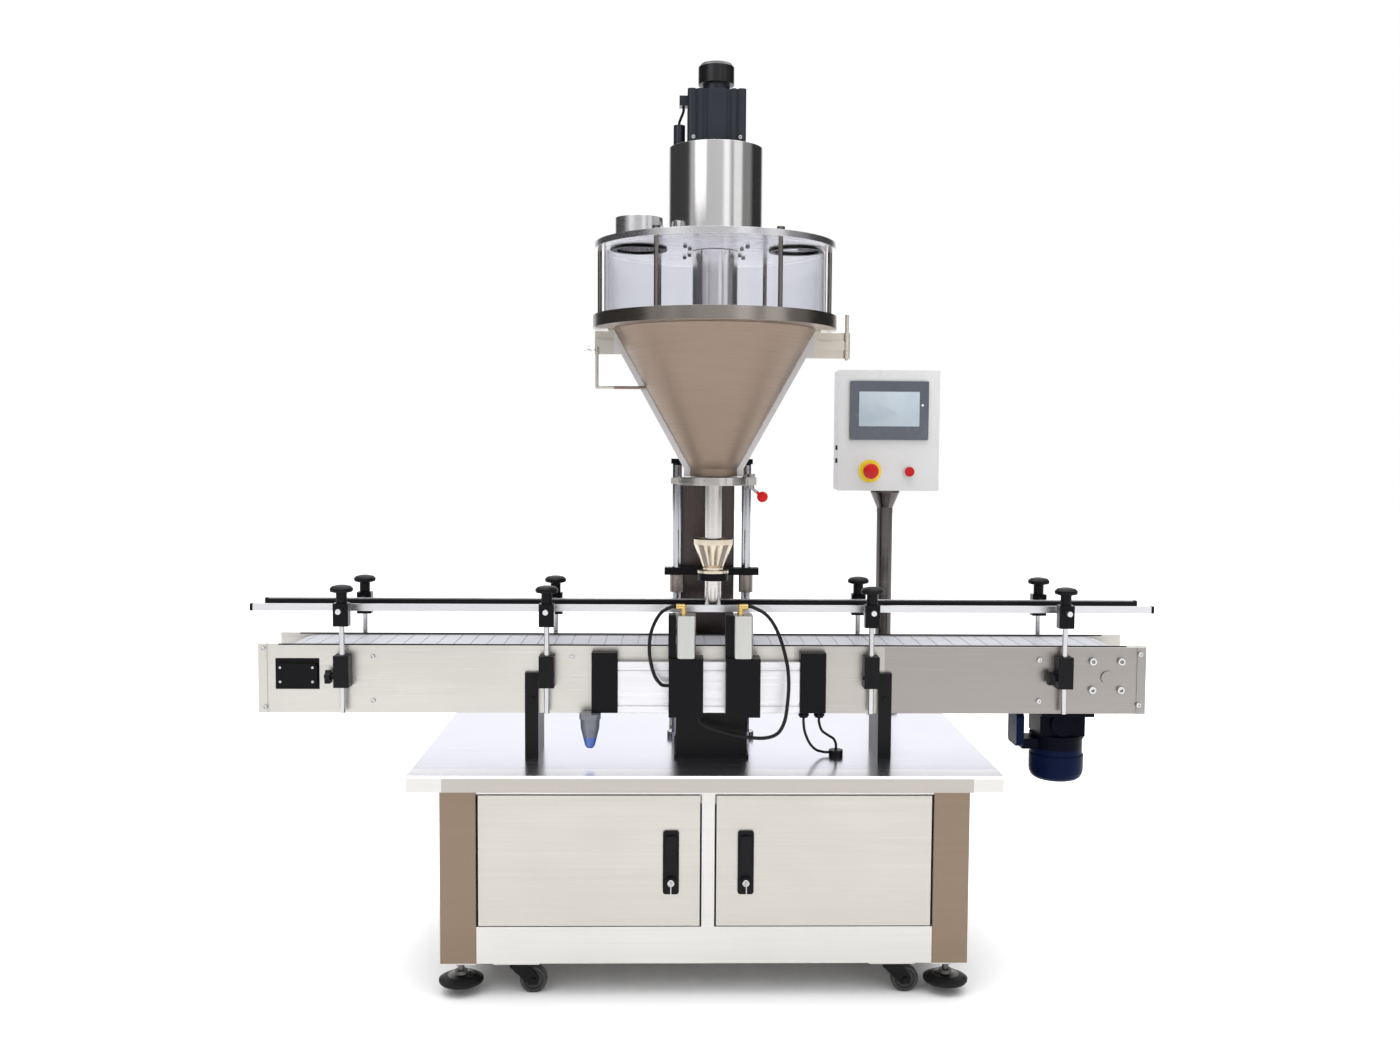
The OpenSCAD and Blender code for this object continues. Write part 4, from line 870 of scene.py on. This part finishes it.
@dataclass
class Hoses:
    """The air hoses of the stop units and the cables, each on one smooth line."""

    stop_x: tuple[float, float] = (-0.044, 0.082)
    elbow: float = 0.016
    hose_y: float = -0.271
    elbow_z: float = 0.856
    gland_x: tuple[float, float] = (0.222, 0.257)
    gland_y: float = -0.225
    gland_z: float = 0.601

    def routes(self) -> dict[str, tuple[list[Point], float]]:
        """Returns each line's points and its diameter."""
        left = self.stop_x[0] - 0.006 - self.elbow
        right = self.stop_x[1] - 0.006 + self.elbow
        y, z = self.hose_y, self.elbow_z
        cable_y = FILL_Y - 0.020
        return {
            "left_air_hose": ([
                (left, y, z), (left - 0.010, y, z), (-0.102, -0.277, 0.840),
                (-0.121, -0.282, 0.800), (-0.124, -0.282, 0.752), (-0.114, -0.276, 0.706),
                (-0.100, -0.268, 0.684), (-0.091, -0.265, 0.680), (self.stop_x[0] - 0.038, -0.265, 0.680),
            ], 0.008),
            "right_air_hose": ([
                (right, y, z), (right + 0.010, y, z), (0.134, -0.280, 0.838),
                (0.158, -0.290, 0.800), (0.176, -0.297, 0.740),
                (0.181, -0.300, 0.690), (0.178, -0.300, 0.640),
                (0.172, -0.297, 0.604), (0.158, -0.290, 0.578),
                (0.132, -0.280, 0.566), (0.096, -0.270, 0.565),
                (0.058, -0.262, 0.570), (0.024, -0.256, 0.578),
                (0.000, -0.252, 0.587), (-0.012, -0.250, 0.596),
                (-0.015, -0.250, 0.604), (-0.015, -0.250, 0.613),
            ], 0.008),
            "foot_cable": ([
                (self.gland_x[0], self.gland_y, self.gland_z), (self.gland_x[0], self.gland_y, 0.590),
                (0.225, -0.226, 0.568), (0.236, -0.222, 0.542),
                (0.252, -0.206, 0.523), (0.267, -0.192, 0.515),
                (0.276, -0.190, 0.513), (0.284, -0.190, 0.513),
            ], 0.006),
            "gland_cable": ([
                (self.gland_x[1], self.gland_y, self.gland_z), (self.gland_x[1], self.gland_y, 0.590),
                (0.264, -0.220, 0.570), (0.280, -0.207, 0.556),
                (0.294, -0.195, 0.545), (0.300, -0.190, 0.532),
                (0.300, -0.190, 0.519),
            ], 0.006),
            "servo_cable": ([
                (-0.055, cable_y, SERVO_Z + 0.084), (-0.055, cable_y, SERVO_Z + 0.074),
                (-0.061, cable_y, SERVO_Z + 0.058), (-0.064, cable_y, SERVO_Z + 0.050),
                (-0.064, cable_y, SERVO_Z + 0.0423),
            ], 0.006),
        }

    @staticmethod
    def smooth(points: list[Point], steps: int = 6) -> list[Vector]:
        """Returns a smooth line through the points."""
        line = []
        for i in range(len(points) - 1):
            a, b = Vector(points[max(i - 1, 0)]), Vector(points[i])
            c, d = Vector(points[i + 1]), Vector(points[min(i + 2, len(points) - 1)])
            for k in range(steps):
                t = k / steps
                line.append(0.5 * (
                    2 * b + (c - a) * t
                    + (2 * a - 5 * b + 4 * c - d) * t * t
                    + (3 * b - a - 3 * c + d) * t ** 3
                ))
        line.append(Vector(points[-1]))
        return line

    def build(self) -> None:
        """Draws the hoses and cables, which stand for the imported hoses."""
        for name, (points, diameter) in self.routes().items():
            line = self.smooth(points)
            curve = bpy.data.curves.new(name, "CURVE")
            curve.dimensions = "3D"
            curve.bevel_depth = diameter / 2
            curve.bevel_resolution = 6
            curve.use_fill_caps = True
            spline = curve.splines.new("POLY")
            spline.points.add(len(line) - 1)
            for point, place in zip(spline.points, line):
                point.co = (*place, 1.0)
            spline.use_smooth = True
            made = bpy.data.objects.new(name, curve)
            bpy.context.scene.collection.objects.link(made)
            curve.materials.append(Wardrobe.get(HOSE))
            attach(made, "base")
            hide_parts("air_hoses")


@dataclass
class Filler:
    """The head: servo, housing, lid, sight section, hopper, lever and tube."""

    nodes: dict[str, bpy.types.Object]
    lid_z: float = 1.650
    lid_top: float = 1.664
    servo_half: float = 0.065

    def dress(self) -> None:
        """Gives the head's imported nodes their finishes."""
        give = Wardrobe.dress
        give(self.nodes, POLISHED, "motor_housing")
        give(self.nodes, CONE, "rear_hopper", "front_hopper")
        give(self.nodes, RING, "hopper_ring")
        give(self.nodes, CLAMP, "head_bracket")
        give(self.nodes, LID, "hopper_lid")
        give(self.nodes, TUBE, "feed_tube", "auger", "latch_screw")
        give(self.nodes, SLEEVE, "agitator")
        give(self.nodes, ROD, "tie_rods")
        give(self.nodes, ACRYLIC, "sight_cylinder")
        give(self.nodes, SLATE, "servo_motor")
        give(self.nodes, LEVER, "clamp_lever")
        give(self.nodes, FUNNEL, "funnel")

    def servo_screws(self) -> None:
        """Draws the bright screws at the servo's foot and round its cap."""
        piece = Piece("servo_screws")
        for x in (-0.052, 0.052):
            for side, facing in ((-1, Axis.FRONT), (1, Axis.BACK)):
                at = (FILL_X + x, FILL_Y + side * self.servo_half, SERVO_Z + 0.008)
                piece.socket_screw(at, 0.0045, facing)
        for k in range(4):
            angle = math.radians(45 + 90 * k)
            at = (FILL_X + 0.0362 * math.cos(angle), FILL_Y + 0.0362 * math.sin(angle), SERVO_Z + 0.115)
            piece.socket_screw(at, 0.004, Axis.UP)
        piece.done(SCREW, "base")

    def lid_screws(self) -> None:
        """Draws the screws round the motor housing's foot ring."""
        piece = Piece("lid_screws")
        for k in range(8):
            angle = math.radians(22.5 + 45 * k)
            at = (FILL_X + 0.1125 * math.cos(angle), FILL_Y + 0.1125 * math.sin(angle), self.lid_top + 0.008)
            piece.hex_head(at, 0.0045, 0.005)
        piece.done(SCREW, "base")

    def lid_underside(self) -> None:
        """Draws the dark seals of the two ports and the six-sided nuts under the lid."""
        seals = Piece("port_seals")
        for x, y in ((-0.172, -0.040), (0.182, -0.040)):
            seals.lathe([
                (0.0485, 0.0), (0.062, 0.0), (0.063, 0.001), (0.063, 0.004), (0.062, 0.005), (0.0492, 0.005),
            ], (FILL_X + x, FILL_Y + y, self.lid_z), Axis.DOWN)
        seals.done(BLACK_PLASTIC, "base")
        nuts = Piece("lid_nuts")
        for radius, first in ((0.076, 40.0), (0.112, 52.0)):
            for angle in (first, 180.0 - first, 180.0 + first, 360.0 - first):
                turn = math.radians(angle)
                at = (FILL_X + radius * math.cos(turn), FILL_Y + radius * math.sin(turn), self.lid_z)
                nuts.hex_head(at, 0.0042, 0.005, Axis.DOWN)
        nuts.done(ROD, "base")

    def build(self) -> None:
        """Dresses the head and adds its fine pieces."""
        self.dress()
        self.servo_screws()
        self.lid_screws()
        self.lid_underside()


@dataclass
class Conveyor:
    """Side plates, belt, rails, stop units, legs and drive."""

    nodes: dict[str, bpy.types.Object]
    face_y: float = CONV_FRONT
    screws: tuple[tuple[float, float], ...] = field(default=(
        (-0.988, 0.751), (-0.985, 0.619), (-0.745, 0.733), (-0.745, 0.633), (-0.300, 0.733),
        (0.757, 0.730), (0.757, 0.636), (0.986, 0.744), (0.984, 0.628),
    ))

    def dress(self) -> None:
        """Gives the conveyor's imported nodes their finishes."""
        give = Wardrobe.dress
        give(self.nodes, SIDE, "side_plates")
        give(self.nodes, ZINC, "cross_members")
        give(self.nodes, BELT, "slat_belt")
        give(self.nodes, SIDE, "drive_roller", "idler_roller")
        give(self.nodes, SHEET_X, "left_stop_rod", "right_stop_rod")
        give(self.nodes, NAVY, "gearbox", "conveyor_motor")
        give(self.nodes, BLACK_PAINT, "conveyor_legs")
        give(self.nodes, CROSSBAR, "crossbar")
        give(self.nodes, BLACK_PLASTIC, "post_brackets", "front_knobs", "rear_knobs")
        give(self.nodes, POSTS, "front_posts", "rear_posts")
        give(self.nodes, RAIL, "front_rail", "rear_rail")
        give(self.nodes, BEAM, "stopper_beam")
        give(self.nodes, CYLINDER, "stop_cylinders")
        give(self.nodes, BOWL, "air_filter")

    def side_screws(self) -> None:
        """Draws the screws of the front side plate, of its idler cover and of its drive bearing."""
        piece = Piece("side_plate_screws")
        for x, z in self.screws:
            front = self.face_y - (0.002 if abs(x) > 0.97 else 0.0)
            piece.socket_screw((x, front, z), 0.0055, Axis.FRONT)
        for dx in (-0.036, 0.036):
            for dz in (-0.016, 0.016):
                piece.socket_screw((-0.913 + dx, self.face_y - 0.008, 0.694 + dz), 0.003, Axis.FRONT)
        for x in (0.878, 0.943):
            for z in (0.662, 0.727):
                piece.socket_screw((x, self.face_y - 0.0005, z), 0.0085, Axis.FRONT)
        piece.done(SCREW, "base")

    def build(self) -> None:
        """Dresses the conveyor and adds its fine pieces."""
        self.dress()
        self.side_screws()


@dataclass
class Cabinet:
    """The table, its cabinet, doors, handles, feet and casters."""

    nodes: dict[str, bpy.types.Object]
    handle_x: tuple[float, float] = (-0.075, 0.088)
    handle_front: float = -0.3433
    handle_low: float = 0.234

    def dress(self) -> None:
        """Gives the cabinet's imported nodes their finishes."""
        give = Wardrobe.dress
        give(self.nodes, CABINET, "cabinet_frame", "cabinet_panels")
        give(self.nodes, DOOR, "left_door", "right_door")
        give(self.nodes, TABLE, "table_top")
        give(self.nodes, BLACK_PLASTIC, "left_handle", "right_handle")
        give(self.nodes, FOOT, "levelling_feet")
        for end in ("front", "rear"):
            for side in ("left", "right"):
                give(self.nodes, BLACK_PAINT, f"caster_fork_{end}_{side}")
                give(self.nodes, WHEEL, f"caster_wheel_{end}_{side}")

    def locks(self) -> None:
        """Draws each handle's bright lock and its hanging key."""
        for name, x in zip(("left", "right"), self.handle_x):
            z = self.handle_low + 0.028
            front = self.handle_front - 0.005
            piece = Piece(f"{name}_lock")
            piece.lathe([
                (0.0, 0.0), (0.0075, 0.0), (0.0075, 0.002),
                (0.0066, 0.0028), (0.0045, 0.0028), (0.0042, 0.0018),
                (0.0, 0.0018),
            ], (x, front, z), Axis.FRONT, 32)
            piece.slab((x - 0.0012, front - 0.016, z - 0.004), (x + 0.0012, front - 0.001, z + 0.004), 0.0004)
            piece.slab((x - 0.001, front - 0.020, z - 0.020), (x + 0.001, front - 0.013, z + 0.006), 0.0006)
            piece.done(SCREW, f"{name}_handle")

    def build(self) -> None:
        """Dresses the cabinet and adds its fine pieces."""
        self.dress()
        self.locks()


@dataclass
class Controls:
    """The control box with its screen and buttons, on its post."""

    nodes: dict[str, bpy.types.Object]
    box_x: float = 0.488
    box_w: float = 0.266
    screen_z: float = 1.303

    def dress(self) -> None:
        """Gives the controls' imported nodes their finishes."""
        give = Wardrobe.dress
        give(self.nodes, POST, "control_post")
        give(self.nodes, BOX, "control_box")
        give(self.nodes, BEZEL, "touch_screen")
        give(self.nodes, RED, "estop_button", "push_button")
        give(self.nodes, COLUMN, "box_column")
        give(self.nodes, CHROME, "guide_columns")

    def screen(self) -> None:
        """Draws the display's glass and the small light beside it."""
        front = BOX_FRONT - 0.0063
        glass = Piece("screen_glass")
        at = (self.box_x, front + 0.0001, self.screen_z + 0.004)
        glass.plate((0.158, 0.090), 0.002, 0.0006, at, edge=0.0003)
        glass.done(SCREEN, "control_box")
        dot = Piece("screen_light")
        at = (self.box_x + 0.087, front, self.screen_z + 0.014)
        dot.lathe([(0.003, 0.0), (0.0028, 0.0006), (0.0, 0.001)], at, Axis.FRONT, 20)
        dot.done(LENS, "control_box")

    def hinges(self) -> None:
        """Draws the door's two hinges on the box's left side."""
        pair = Piece("box_hinges")
        left = self.box_x - self.box_w / 2
        for z in (1.172, 1.206):
            low = (left - 0.004, BOX_FRONT + 0.004, z - 0.006)
            pair.slab(low, (left + 0.002, BOX_FRONT + 0.020, z + 0.006), 0.001)
        pair.done(BLACK_PLASTIC, "control_box")

    def build(self) -> None:
        """Dresses the controls and adds their fine pieces."""
        self.dress()
        self.screen()
        self.hinges()


def corners(box: tuple[Vector, Vector]) -> list[list[float]]:
    """Returns a box's two corners as plain lists."""
    return [list(map(float, corner)) for corner in box]


def main() -> None:
    """Loads the frame, then builds the studio, the hoses and every sub-assembly in order."""
    logging.basicConfig(level=logging.INFO, format="%(name)s: %(message)s")
    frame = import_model()
    nodes = frame["nodes"]
    Studio().build()
    Hoses().build()
    for group in (Cabinet(nodes), Conveyor(nodes), Filler(nodes), Controls(nodes)):
        group.build()
        LOG.info("%s built", type(group).__name__)


if __name__ == "__main__":
    main()
